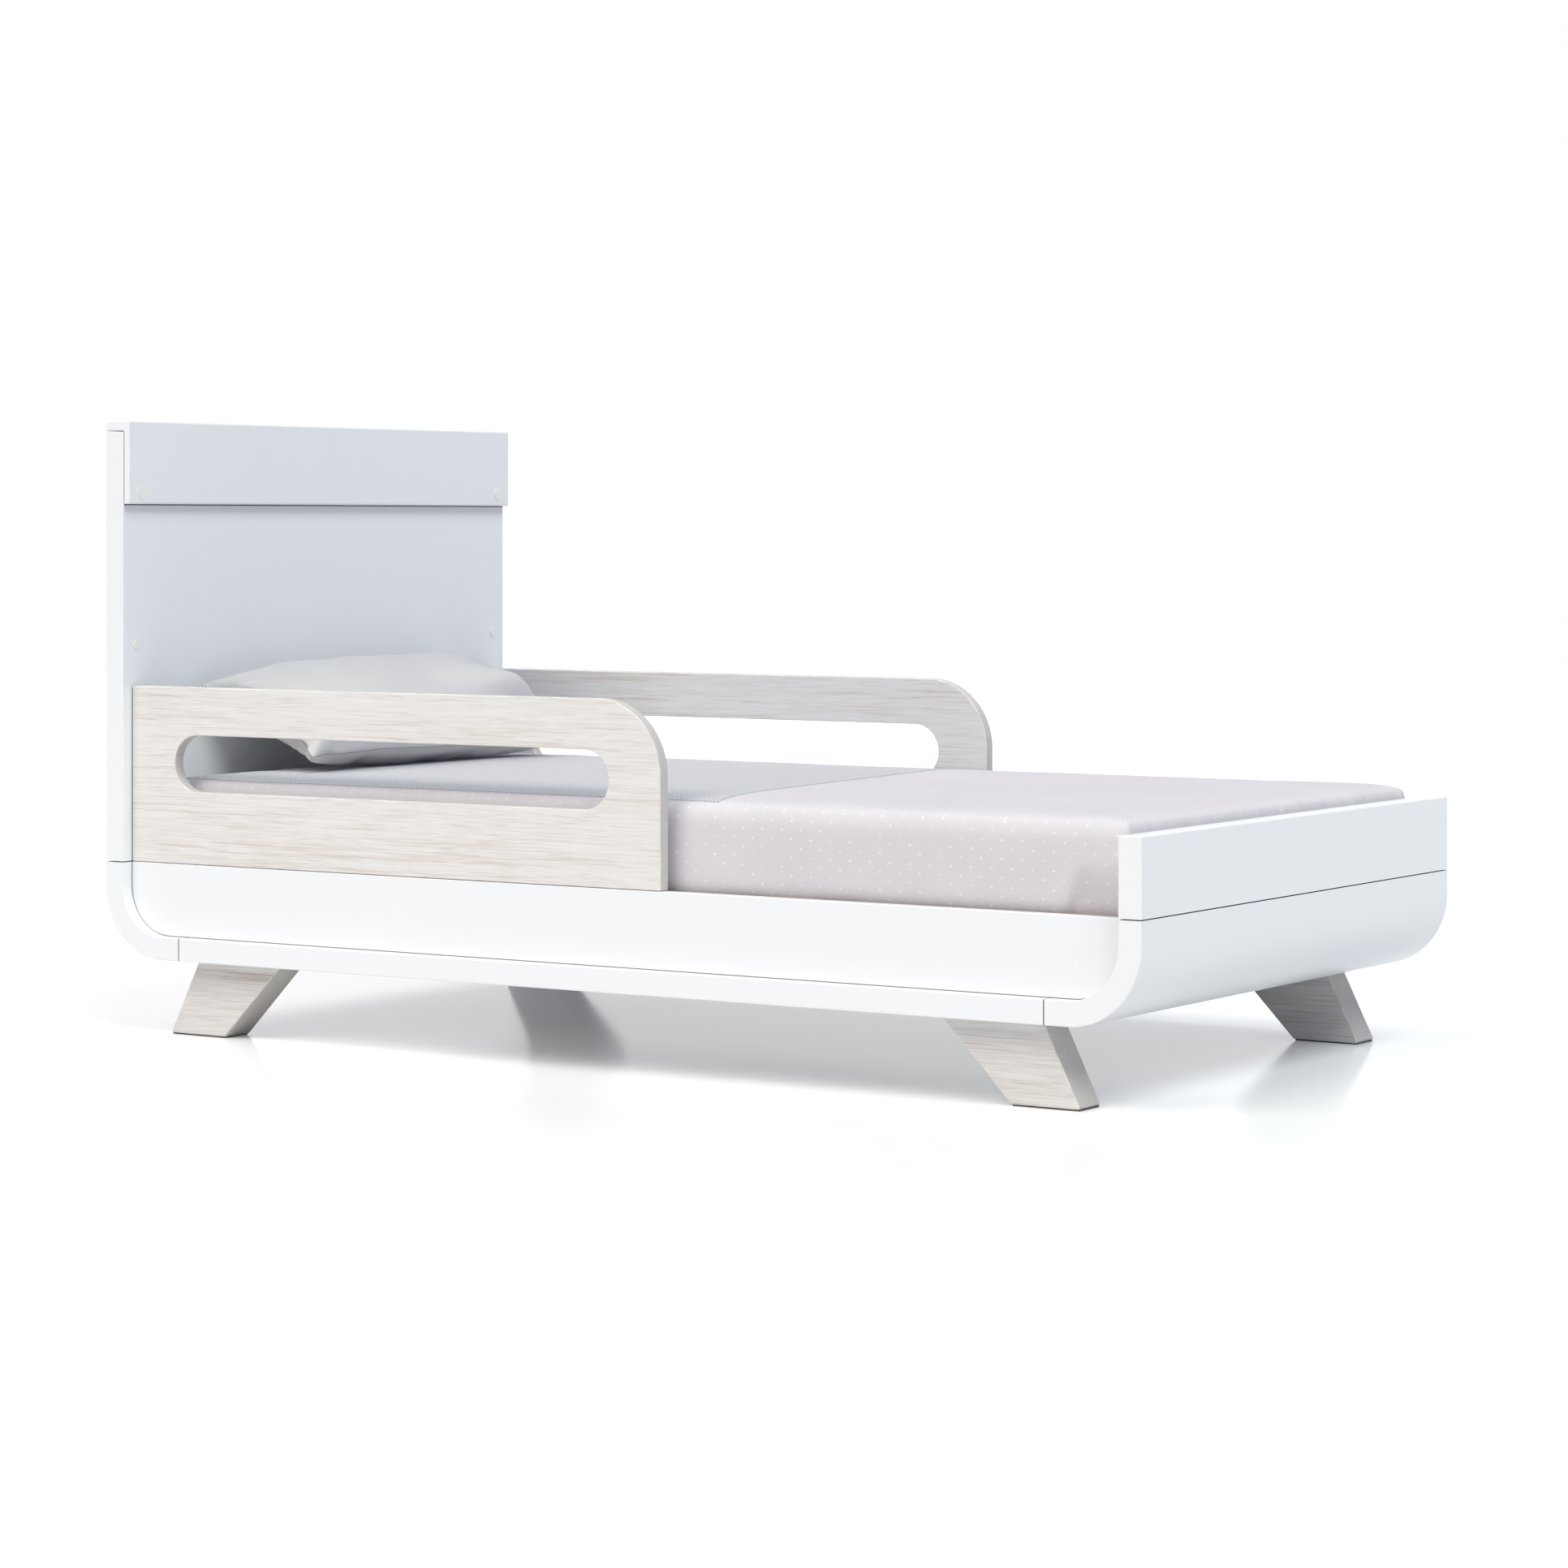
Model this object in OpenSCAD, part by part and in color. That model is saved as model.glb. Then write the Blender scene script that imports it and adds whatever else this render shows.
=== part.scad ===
// Low toddler bed: a U-shaped lacquered shell on four splayed legs, slotted guard rails at the
// head end, a slatted base, a mattress and a pillow.
// Origin: centre of the footprint, on the floor. +X runs towards the foot end, +Z is up.

/* [Shell] */
// Overall length, outside of headboard to outside of footboard
bed_l = 1400; // [1240:10:1700]
// Overall width of the shell
bed_w = 757; // [640:1:1000]
// Thickness of the shell boards
band_t = 27; // [20:0.5:34]
// Outer radius of the two corner bends
bend_r = 86; // [64:1:110]
// Straight run of a bend past its curve, at both ends
bend_run = 28; // [24:1:40]
// Height of the headboard panel's top edge above the floor
head_top = 717; // [580:1:900]
// Height of the footboard panel's top edge above the floor
foot_top = 289; // [260:1:360]

/* [Headboard cap] */
// Thickness of the cap over the headboard's top edge
cap_top_t = 13.4; // [8:0.2:20]
// Thickness of the cap's front leg
cap_front_t = 9.6; // [8:0.2:14]
// Height of the cap's front face
cap_h = 99.7; // [70:0.1:140]
// Diameter of the screw covers
cover_d = 18; // [12:0.5:24]
// Distance of the cap screws from the side edges
cap_screw_edge = 23; // [14:1:60]
// Distance of the cap screws above the cap's lower edge
cap_screw_up = 15.5; // [11:0.5:40]
// Diameter of the plugs in the headboard
plug_d = 11; // [9:0.5:14]
// Distance of the plugs below the headboard's top edge
plug_drop = 255; // [180:1:280]

/* [Side panels] */
// Thickness of the side panels
side_t = 15; // [13:0.5:18]
// Setback of a side panel from the shell's side edge
side_recess = 15; // [4:0.5:24]
// Shadow gap between a side panel's ends and the shell
side_gap = 1; // [0.5:0.1:2]

/* [Guard rails] */
// Length of a guard rail
rail_l = 767; // [560:1:900]
// Height of a guard rail
rail_h = 210; // [150:1:260]
// Radius of the rail's upper corner at the foot side
rail_corner_r = 85; // [20:1:100]
// Gap between a rail and the headboard
rail_gap = 1.5; // [1:0.1:4]
// Length of the slot in a rail
slot_l = 630; // [420:1:640]
// Height of the slot in a rail
slot_h = 67; // [50:1:84]
// Distance of the slot's lower edge above the rail's bottom
slot_up = 86; // [50:1:100]
// Distance of the slot from the rail's head end
slot_in = 67; // [50:1:90]
// Diameter of the locating pins
pin_d = 8; // [6:0.5:9]

/* [Legs] */
// Height of the shell's underside above the floor
leg_h = 89.5; // [70:0.5:130]
// Thickness of a leg across the bed
leg_t = 45; // [38:1:60]
// Length of a leg at its top
leg_top_l = 125; // [110:1:160]
// Length of a leg at its foot
leg_foot_l = 83; // [60:1:100]
// Overhang of a leg's foot past its top, towards the bed's end
leg_splay = 43; // [20:1:60]
// Distance of a leg's top from the joint of floor panel and bend
leg_setback = 12; // [8:1:60]
// Setback of a leg from the shell's side edge
leg_inset = 22.5; // [10:0.5:60]
// Thickness of the felt glides
glide_t = 1.5; // [1:0.1:5]

/* [Slatted base] */
// Height of the base's upper face above the floor panel
base_up = 69.5; // [60:0.5:90]
// Clearance of the base from headboard and footboard
base_end_gap = 12; // [10:0.5:20]
// Clearance of the base and mattress from the side panels
bay_gap = 2.5; // [1.5:0.5:8]
// Thickness of a slat
slat_t = 12; // [9:0.5:20]
// Width of a slat
slat_w = 70; // [50:1:80]
// Height of a base rail
base_rail_h = 20; // [16:1:24]
// Width of a base rail
base_rail_w = 30; // [26:1:45]
// Height of a support cleat
cleat_h = 22; // [16:1:26]
// Width of a support cleat
cleat_w = 18; // [14:1:20]

/* [Bedding] */
// Thickness of the mattress
mattress_t = 120; // [80:1:150]
// Gap between mattress and headboard
mattress_head_gap = 16; // [12:1:30]
// Gap between mattress and footboard
mattress_foot_gap = 5; // [4:1:30]
// Plan radius of the mattress corners
mattress_corner_r = 36; // [28:1:80]
// Radius of the mattress's upper and lower edges
mattress_edge_r = 24; // [12:1:27]
// Length of the pillow, across the bed
pillow_l = 500; // [360:5:560]
// Depth of the pillow from front edge to back edge
pillow_d = 215; // [180:5:260]
// Thickness of the pillow at its crown
pillow_t = 96; // [60:1:110]
// Slope of the pillow up towards the headboard, in degrees
pillow_tilt = 30; // [10:1:36]

/* [Hidden] */
$fn = 64;
snug = 0.05;        // radial clearance of dowels, pins and screws in their holes
rest_gap = 0.3;     // clearance under a soft piece
bore_fn = 48;

bed_x = bed_l / 2;              // outside of headboard and footboard
bed_y = bed_w / 2;              // side edge of the shell
inner_x = bed_x - band_t;       // inner face of headboard and footboard
reach = bend_r + bend_run;      // length and height of a bend
joint_x = bed_x - reach;        // floor panel to bend joint
joint_z = leg_h + reach;        // bend to headboard or footboard joint
floor_z = leg_h + band_t;       // upper face of the floor panel
inner_r = bend_r - band_t;

side_out = bed_y - side_recess; // outer face of a side panel
side_in = side_out - side_t;    // inner face of a side panel
side_mid = side_in + side_t / 2;
bay_y = side_in - bay_gap;      // half width of base and mattress

base_x = inner_x - base_end_gap;
base_top = floor_z + base_up;
base_rail_z = base_top - slat_t - base_rail_h;
base_rail_in = bay_y - base_rail_w;
slat_count = 11;
slat_pitch = (2 * base_x - slat_w) / (slat_count - 1);

rail_x0 = -inner_x + rail_gap;
rail_x1 = rail_x0 + rail_l;
slot_r = slot_h / 2;
slot_z = joint_z + slot_up + slot_r;

// board joints: dowels, cam bolts and cam locks
dowel_d = 8;
dowel_l = 40;
dowel_edge = 45;
cam_edge = 90;
cam_d = 15;
cam_back = 34;                  // distance of a cam's centre from its joint
cam_depth = band_t / 2 + 5.5;
bolt_d = 6;
bolt_bite = 11;                 // depth of the cam bolt's thread in the bend
bolt_head_d = 7.6;
bolt_head_l = 4;
cam_ys = [for (i = [-1:1]) i * (bed_y - cam_edge)];
dowel_ys = [for (s = [-1, 1], y = [bed_y - dowel_edge, (bed_y - cam_edge) / 2]) s * y];

// side panel fixings
side_dowel_d = 8;
side_dowel_l = 30;
side_screw_d = 5;
side_screw_l = 58;
side_screw_head_d = 10;
side_screw_head_l = 3.5;
side_fix_edge = 60;             // distance of the outermost screw from the bend joint
side_screws = 5;
side_screw_pitch = 2 * (joint_x - side_fix_edge) / (side_screws - 1);

// legs
leg_x1 = joint_x - leg_setback; // end-side corner of a leg's top
leg_y0 = bed_y - leg_inset - leg_t;
leg_bolt_d = 6;
leg_bolt_in = [29, 69];         // distances of the bolts from the leg's end-side top corner
leg_bolt_deep = 40;
leg_bolt_head_d = 10;
leg_bolt_head_l = 5;
washer_d = 15;
washer_t = 1.5;
insert_d = 10;
insert_l = 25;
counterbore_d = washer_d + 1;
counterbore_l = washer_t + leg_bolt_head_l + 0.5;
glide_inset = 1.5;

// cleats and base screws
cleat_x = inner_x - 40;
cleat_screw_d = 4;
cleat_screw_l = cleat_w + 9;
cleat_screw_past = 45;          // distance of the end screws past the outermost side panel screws
slat_screw_d = 3.5;
slat_screw_l = slat_t + 14;

// headboard cap
cap_top = head_top + cap_top_t;
cap_bottom = cap_top - cap_h;
cap_front = -inner_x + cap_front_t;
cap_screw_y = bed_y - cap_screw_edge;
cap_screw_z = cap_bottom + cap_screw_up;
cap_screw_d = 4;
cap_screw_l = cap_front_t + 15;
cover_t = 0.8;
plug_y = bed_y - 23.5;
plug_z = head_top - plug_drop;
plug_stem_d = plug_d - 3;
plug_stem_l = 12;
plug_head_t = 1;

// guard rail pins
pin_up = 25;
pin_down = 30;
pin_clear = 0.1;
pin_ends = [45, 60];            // distances of the outer pins from the rail's two ends
pin_xs = [rail_x0 + pin_ends[0], (rail_x0 + rail_x1) / 2, rail_x1 - pin_ends[1]];

// bedding
mattress_z0 = base_top + rest_gap;
mattress_top = mattress_z0 + mattress_t;
mattress_x0 = -inner_x + mattress_head_gap;
mattress_x1 = inner_x - mattress_foot_gap;
pillow_back_gap = 11;           // clearance of the pillow's back edge from the headboard
pillow_corner_t = 26;           // thickness of the pillow at its corners
pillow_crown = 0.62;            // share of the pillow's plan that its crown covers

lacquer = [0.96, 0.965, 0.98];
ash = [0.91, 0.88, 0.84];
steel = [0.72, 0.73, 0.75];
zinc = [0.62, 0.63, 0.65];
beech = [0.86, 0.72, 0.53];
pine = [0.90, 0.80, 0.62];

// ---- helpers ----

// cylinder from one point along +X, +Y or +Z
module rod_x(d, l) { rotate([0, 90, 0]) cylinder(d = d, h = l, $fn = bore_fn); }
module rod_y(d, l) { rotate([-90, 0, 0]) cylinder(d = d, h = l, $fn = bore_fn); }
module rod_z(d, l) { cylinder(d = d, h = l, $fn = bore_fn); }

// board between two corners
module board(lo, hi) { translate(lo) cube(hi - lo); }

// places its children at the head end (s = -1) or, mirrored, at the foot end (s = 1)
module at_end(s) { if (s < 0) mirror([1, 0, 0]) children(); else children(); }

// the same for the two sides: left is +Y, right is -Y
module at_side(s) { if (s < 0) mirror([0, 1, 0]) children(); else children(); }

// screw with its head on the plane z = 0, shank downwards
module screw_down(d, l, head_d, head_l) {
    translate([0, 0, -l]) rod_z(d, l - head_l);
    translate([0, 0, -head_l]) cylinder(d1 = d, d2 = head_d, h = head_l, $fn = bore_fn);
}

// ---- board joints, drawn for the foot end ----

module joint_dowels() {
    for (y = dowel_ys) {
        translate([joint_x - dowel_l / 2, y, leg_h + band_t / 2]) rod_x(dowel_d, dowel_l);
        translate([bed_x - band_t / 2, y, joint_z - dowel_l / 2]) rod_z(dowel_d, dowel_l);
    }
}

module joint_dowel_holes() {
    d = dowel_d + 2 * snug;
    l = dowel_l + 1;
    for (y = dowel_ys) {
        translate([joint_x - l / 2, y, leg_h + band_t / 2]) rod_x(d, l);
        translate([bed_x - band_t / 2, y, joint_z - l / 2]) rod_z(d, l);
    }
}

// cam bolt lying along -X, with its thread starting bolt_bite behind the origin
module cam_bolt() {
    translate([-cam_back + bolt_head_l / 2, 0, 0]) rod_x(bolt_d, cam_back - bolt_head_l / 2 + bolt_bite);
    translate([-cam_back - bolt_head_l / 2, 0, 0]) rod_x(bolt_head_d, bolt_head_l);
}

module cam_bolt_hole() {
    translate([-cam_back, 0, 0]) rod_x(bolt_head_d + 2 * snug, cam_back);
    rod_x(bolt_d + 2 * snug, bolt_bite + 1);
}

// cam lock, its open face up, with the channel that takes the bolt
module cam_lock() {
    difference() {
        translate([0, 0, -5.5]) rod_z(cam_d, cam_depth);
        translate([-bolt_head_l / 2 - 0.2, 0, 0]) rod_x(bolt_head_d + 0.6, cam_d);
        translate([0, 0, cam_depth - 5.5 - 2]) board([-4, -1, 0], [4, 1, 3]);
    }
}

module cam_hole() {
    translate([0, 0, -5.6]) rod_z(cam_d + 2 * snug, cam_depth + 1);
}

// positions of the joint hardware: along X at the floor joint, along Z at the upright joint
module floor_joint() {
    for (y = cam_ys) translate([joint_x, y, leg_h + band_t / 2]) children();
}

module upright_joint() {
    for (y = cam_ys) translate([bed_x - band_t / 2, y, joint_z]) rotate([0, 90, 0]) children();
}

module cam_bolts() {
    floor_joint() cam_bolt();
    upright_joint() cam_bolt();
}

module cam_bolt_holes() {
    floor_joint() cam_bolt_hole();
    upright_joint() cam_bolt_hole();
}

module cam_locks() {
    floor_joint() translate([-cam_back, 0, 0]) cam_lock();
    upright_joint() translate([-cam_back, 0, 0]) mirror([0, 0, 1]) cam_lock();
}

module cam_holes() {
    floor_joint() translate([-cam_back, 0, 0]) cam_hole();
    upright_joint() translate([-cam_back, 0, 0]) mirror([0, 0, 1]) cam_hole();
}

module joint_cuts() {
    joint_dowel_holes();
    cam_bolt_holes();
    cam_holes();
}

// ---- shell ----

module corner_bend() {
    translate([0, bed_y, 0]) rotate([90, 0, 0]) linear_extrude(bed_w) difference() {
        union() {
            translate([joint_x, leg_h]) square([bend_run, band_t]);
            translate([inner_x, joint_z - bend_run]) square([band_t, bend_run]);
            intersection() {
                translate([bed_x - bend_r, leg_h + bend_r]) circle(bend_r, $fn = 128);
                translate([bed_x - bend_r, leg_h]) square(bend_r);
            }
        }
        translate([bed_x - bend_r, leg_h + bend_r]) circle(inner_r, $fn = 128);
    }
}

module head_corner_bend() {
    color(lacquer) at_end(-1) difference() {
        corner_bend();
        joint_cuts();
    }
}

module foot_corner_bend() {
    color(lacquer) difference() {
        corner_bend();
        joint_cuts();
    }
}

module floor_panel() {
    color(lacquer) difference() {
        board([-joint_x, -bed_y, leg_h], [joint_x, bed_y, floor_z]);
        for (s = [-1, 1]) at_end(s) joint_cuts();
        for (s = [-1, 1], t = [-1, 1]) at_end(s) at_side(t) leg_fixing_holes();
        for (t = [-1, 1]) at_side(t) side_fixing_holes();
    }
}

module headboard_panel() {
    color(lacquer) difference() {
        board([-bed_x, -bed_y, joint_z], [-inner_x, bed_y, head_top]);
        at_end(-1) joint_cuts();
        cap_screw_holes();
        for (t = [-1, 1]) translate([-inner_x - plug_stem_l - 1, t * plug_y, plug_z])
            rod_x(plug_stem_d + 2 * snug, plug_stem_l + 2);
    }
}

module footboard_panel() {
    color(lacquer) difference() {
        board([inner_x, -bed_y, joint_z], [bed_x, bed_y, foot_top]);
        joint_cuts();
    }
}

// ---- headboard cap ----

module cap_screw_holes() {
    d = cap_screw_d + 2 * snug;
    for (t = [-1, 1]) translate([cap_front - cap_screw_l - 1, t * cap_screw_y, cap_screw_z])
        rod_x(d, cap_screw_l + 2);
}

module headboard_cap() {
    color(lacquer) difference() {
        union() {
            board([-bed_x, -bed_y, head_top], [cap_front, bed_y, cap_top]);
            board([-inner_x, -bed_y, cap_bottom], [cap_front, bed_y, cap_top]);
        }
        cap_screw_holes();
        for (t = [-1, 1]) translate([cap_front - 3, t * cap_screw_y, cap_screw_z])
            rotate([0, 90, 0]) cylinder(d1 = cap_screw_d + 2 * snug, d2 = 9, h = 3, $fn = bore_fn);
    }
}

module cap_screws() {
    color(steel) for (t = [-1, 1]) translate([cap_front - 0.2, t * cap_screw_y, cap_screw_z])
        rotate([0, 90, 0]) screw_down(cap_screw_d, cap_screw_l, 8, 2.8);
}

module cap_screw_covers() {
    color([0.90, 0.89, 0.88]) for (t = [-1, 1])
        translate([cap_front, t * cap_screw_y, cap_screw_z]) rod_x(cover_d, cover_t);
}

module headboard_plugs() {
    color([0.90, 0.89, 0.88]) for (t = [-1, 1]) translate([-inner_x, t * plug_y, plug_z]) {
        rod_x(plug_d, plug_head_t);
        translate([-plug_stem_l, 0, 0]) rod_x(plug_stem_d, plug_stem_l);
    }
}

// ---- side panels ----

// outline in X and Z: the panel follows the shell's inner curve, a shadow gap inside it
module side_outline() {
    x = inner_x - side_gap;
    r = inner_r - side_gap;
    cx = bed_x - bend_r;
    cz = leg_h + bend_r;
    intersection() {
        union() {
            translate([-x, cz]) square([2 * x, joint_z - cz]);
            translate([-cx, floor_z]) square([2 * cx, cz - floor_z]);
            for (s = [-1, 1]) translate([s * cx, cz]) circle(r, $fn = 128);
        }
        translate([-x, floor_z]) square([2 * x, joint_z - floor_z]);
    }
}

module side_panel() {
    difference() {
        translate([0, side_out, 0]) rotate([90, 0, 0]) linear_extrude(side_t) side_outline();
        side_fixing_holes();
        rail_pin_holes(pin_down, snug);
        cleat_screw_holes();
    }
}

module side_panel_left() { color(lacquer) side_panel(); }
module side_panel_right() { color(lacquer) at_side(-1) side_panel(); }

function side_screw_x(i) = side_fix_edge - joint_x + i * side_screw_pitch;
function side_dowel_x(i) = side_screw_x(i) + side_screw_pitch / 2;

module side_fixing_holes() {
    d = side_dowel_d + 2 * snug;
    l = side_dowel_l + 1;
    for (i = [0:side_screws - 2]) translate([side_dowel_x(i), side_mid, floor_z - l / 2]) rod_z(d, l);
    for (i = [0:side_screws - 1]) translate([side_screw_x(i), side_mid, leg_h]) {
        translate([0, 0, -1]) rod_z(side_screw_d + 2 * snug, side_screw_l + 1.5);
        translate([0, 0, -0.2]) cylinder(d1 = side_screw_head_d + 1, d2 = side_screw_d + 2 * snug,
                                         h = side_screw_head_l + 0.8, $fn = bore_fn);
    }
}

module side_panel_dowels() {
    color(beech) for (t = [-1, 1]) at_side(t) for (i = [0:side_screws - 2])
        translate([side_dowel_x(i), side_mid, floor_z - side_dowel_l / 2]) rod_z(side_dowel_d, side_dowel_l);
}

module side_panel_screws() {
    color(steel) for (t = [-1, 1]) at_side(t) for (i = [0:side_screws - 1])
        translate([side_screw_x(i), side_mid, leg_h]) mirror([0, 0, 1])
            screw_down(side_screw_d, side_screw_l, side_screw_head_d, side_screw_head_l);
}

// ---- board joint hardware ----

module head_joint_dowels() { color(beech) at_end(-1) joint_dowels(); }
module foot_joint_dowels() { color(beech) joint_dowels(); }
module head_cam_bolts() { color(steel) at_end(-1) cam_bolts(); }
module foot_cam_bolts() { color(steel) cam_bolts(); }
module head_cam_locks() { color(zinc) at_end(-1) cam_locks(); }
module foot_cam_locks() { color(zinc) cam_locks(); }

// ---- guard rails ----

module rail_outline() {
    difference() {
        union() {
            translate([rail_x0, joint_z]) square([rail_l - rail_corner_r, rail_h]);
            translate([rail_x0, joint_z]) square([rail_l, rail_h - rail_corner_r]);
            translate([rail_x1 - rail_corner_r, joint_z + rail_h - rail_corner_r])
                circle(rail_corner_r, $fn = 128);
        }
        for (x = [slot_r, slot_l - slot_r]) translate([rail_x0 + slot_in + x, slot_z])
            circle(slot_r, $fn = 96);
        translate([rail_x0 + slot_in + slot_r, slot_z - slot_r]) square([slot_l - slot_h, slot_h]);
    }
}

module rail_pin_holes(depth_down, gap) {
    for (x = pin_xs) translate([x, side_mid, joint_z - depth_down - 0.5])
        rod_z(pin_d + 2 * gap, depth_down + pin_up + 1.5);
}

module guard_rail() {
    difference() {
        translate([0, side_out, 0]) rotate([90, 0, 0]) linear_extrude(side_t) rail_outline();
        rail_pin_holes(0, pin_clear);
    }
}

module guard_rail_left() { color(ash) guard_rail(); }
module guard_rail_right() { color(ash) at_side(-1) guard_rail(); }

module guard_rail_pins() {
    color(steel) for (t = [-1, 1]) at_side(t) for (x = pin_xs)
        translate([x, side_mid, joint_z - pin_down]) rod_z(pin_d, pin_down + pin_up);
}

// ---- legs, drawn for the foot end's left side ----

module leg_outline() {
    foot_x = leg_x1 + leg_splay;
    polygon([[leg_x1, leg_h], [leg_x1 - leg_top_l, leg_h],
             [foot_x - leg_foot_l, glide_t], [foot_x, glide_t]]);
}

module leg_bolt_spots() {
    for (d = leg_bolt_in) translate([leg_x1 - d, leg_y0 + leg_t / 2, 0]) children();
}

module leg_fixing_holes() {
    leg_bolt_spots() {
        translate([0, 0, leg_h - 1]) rod_z(leg_bolt_d + 0.6, band_t + 2);
        translate([0, 0, floor_z - counterbore_l]) rod_z(counterbore_d, counterbore_l + 1);
    }
}

module leg() {
    difference() {
        translate([0, leg_y0 + leg_t, 0]) rotate([90, 0, 0]) linear_extrude(leg_t) leg_outline();
        leg_bolt_spots() {
            translate([0, 0, leg_h - insert_l]) rod_z(insert_d + 2 * snug, insert_l + 1);
            translate([0, 0, leg_h - leg_bolt_deep - 2]) rod_z(leg_bolt_d + 0.6, leg_bolt_deep + 3);
        }
    }
}

module leg_head_left() { color(ash) at_end(-1) leg(); }
module leg_head_right() { color(ash) at_end(-1) at_side(-1) leg(); }
module leg_foot_left() { color(ash) leg(); }
module leg_foot_right() { color(ash) at_side(-1) leg(); }

module each_leg() { for (s = [-1, 1], t = [-1, 1]) at_end(s) at_side(t) children(); }

module leg_glides() {
    foot_x = leg_x1 + leg_splay;
    color([0.25, 0.24, 0.24]) each_leg() board(
        [foot_x - leg_foot_l + glide_inset, leg_y0 + glide_inset, 0],
        [foot_x - glide_inset, leg_y0 + leg_t - glide_inset, glide_t]);
}

module leg_bolts() {
    head_z = floor_z - counterbore_l + washer_t;
    color(steel) each_leg() leg_bolt_spots() difference() {
        union() {
            translate([0, 0, leg_h - leg_bolt_deep]) rod_z(leg_bolt_d, head_z - leg_h + leg_bolt_deep);
            translate([0, 0, head_z]) rod_z(leg_bolt_head_d, leg_bolt_head_l);
        }
        translate([0, 0, head_z + 2]) cylinder(d = 5.8, h = leg_bolt_head_l, $fn = 6);
    }
}

module leg_washers() {
    color(zinc) each_leg() leg_bolt_spots() translate([0, 0, floor_z - counterbore_l]) difference() {
        rod_z(washer_d, washer_t);
        translate([0, 0, -1]) rod_z(leg_bolt_d + 0.6, washer_t + 2);
    }
}

module leg_inserts() {
    color([0.80, 0.66, 0.36]) each_leg() leg_bolt_spots() translate([0, 0, leg_h - insert_l]) difference() {
        rod_z(insert_d, insert_l);
        translate([0, 0, -1]) rod_z(leg_bolt_d + 2 * snug, insert_l + 2);
    }
}

// ---- cleats and slatted base ----

// midway between the side panel's upright screws, and one past the last at each end
cleat_screw_xs = concat([for (s = [-1, 1]) s * (joint_x - side_fix_edge + cleat_screw_past)],
                        [for (i = [0:side_screws - 2]) side_dowel_x(i)]);

module cleat_screw_holes() {
    z = base_rail_z - cleat_h / 2;
    for (x = cleat_screw_xs) translate([x, side_in - cleat_w - 1, z]) {
        rod_y(cleat_screw_d + 2 * snug, cleat_screw_l + 1.5);
        translate([0, 0.8, 0]) rotate([-90, 0, 0])
            cylinder(d1 = 9, d2 = cleat_screw_d + 2 * snug, h = 3.2, $fn = bore_fn);
    }
}

module support_cleat() {
    difference() {
        board([-cleat_x, side_in - cleat_w, base_rail_z - cleat_h], [cleat_x, side_in, base_rail_z]);
        cleat_screw_holes();
    }
}

module support_cleat_left() { color(pine) support_cleat(); }
module support_cleat_right() { color(pine) at_side(-1) support_cleat(); }

module cleat_screws() {
    z = base_rail_z - cleat_h / 2;
    color(steel) for (t = [-1, 1]) at_side(t) for (x = cleat_screw_xs)
        translate([x, side_in - cleat_w, z]) rotate([90, 0, 0])
            screw_down(cleat_screw_d, cleat_screw_l, 8, 2.8);
}

function slat_x(i) = -base_x + slat_w / 2 + i * slat_pitch;

// places its children at both screws of slat i, on the slat's upper face
module slat_screw_spots(i) {
    for (t = [-1, 1]) translate([slat_x(i), t * (bay_y - base_rail_w / 2), base_top]) children();
}

module slat_screw_cut() {
    translate([0, 0, -slat_screw_l - 0.5]) rod_z(slat_screw_d + 2 * snug, slat_screw_l + 1);
    translate([0, 0, -2.8]) cylinder(d1 = slat_screw_d + 2 * snug, d2 = 8, h = 3, $fn = bore_fn);
}

module base_rail() {
    difference() {
        board([-base_x, base_rail_in, base_rail_z], [base_x, bay_y, base_top - slat_t]);
        for (i = [0:slat_count - 1]) slat_screw_spots(i) slat_screw_cut();
    }
}

module base_rail_left() { color(pine) base_rail(); }
module base_rail_right() { color(pine) at_side(-1) base_rail(); }

module slat(i) {
    color(pine) difference() {
        board([slat_x(i) - slat_w / 2, -bay_y, base_top - slat_t], [slat_x(i) + slat_w / 2, bay_y, base_top]);
        slat_screw_spots(i) slat_screw_cut();
    }
}

module slat_screws() {
    color(steel) for (i = [0:slat_count - 1]) slat_screw_spots(i)
        translate([0, 0, -0.2]) screw_down(slat_screw_d, slat_screw_l, 7, 2.4);
}

// ---- bedding ----

module mattress() {
    r = mattress_corner_r;
    e = mattress_edge_r;
    color([0.85, 0.83, 0.85]) translate([0, 0, mattress_z0]) hull()
        for (x = [mattress_x0 + r, mattress_x1 - r], y = [r - bay_y, bay_y - r], a = [0 : 15 : 90])
            translate([x, y, e - e * cos(a)])
                cylinder(r = r - e + e * sin(a), h = mattress_t - 2 * e + 2 * e * cos(a), $fn = 40);
}

// pillow: lens with thin corners, its front edge on the mattress, sloping up to the headboard
module pillow() {
    back_x = -inner_x + pillow_back_gap;
    lift = pillow_corner_t / 2;
    turned_d = (pillow_d - pillow_corner_t) * cos(pillow_tilt) + pillow_corner_t;
    color([0.84, 0.83, 0.84]) translate([back_x + turned_d - lift, 0, mattress_top + rest_gap + lift])
        rotate([0, pillow_tilt, 0]) translate([-(pillow_d - pillow_corner_t) / 2, 0, 0]) hull() {
            for (s = [-1, 1], t = [-1, 1])
                translate([s * (pillow_d - pillow_corner_t) / 2, t * (pillow_l - pillow_corner_t) / 2, 0])
                    sphere(d = pillow_corner_t, $fn = 24);
            translate([0, 0, (pillow_t - pillow_corner_t) / 2])
                resize([pillow_d * pillow_crown, pillow_l * pillow_crown, pillow_t]) sphere(d = 1, $fn = 32);
        }
}

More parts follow.
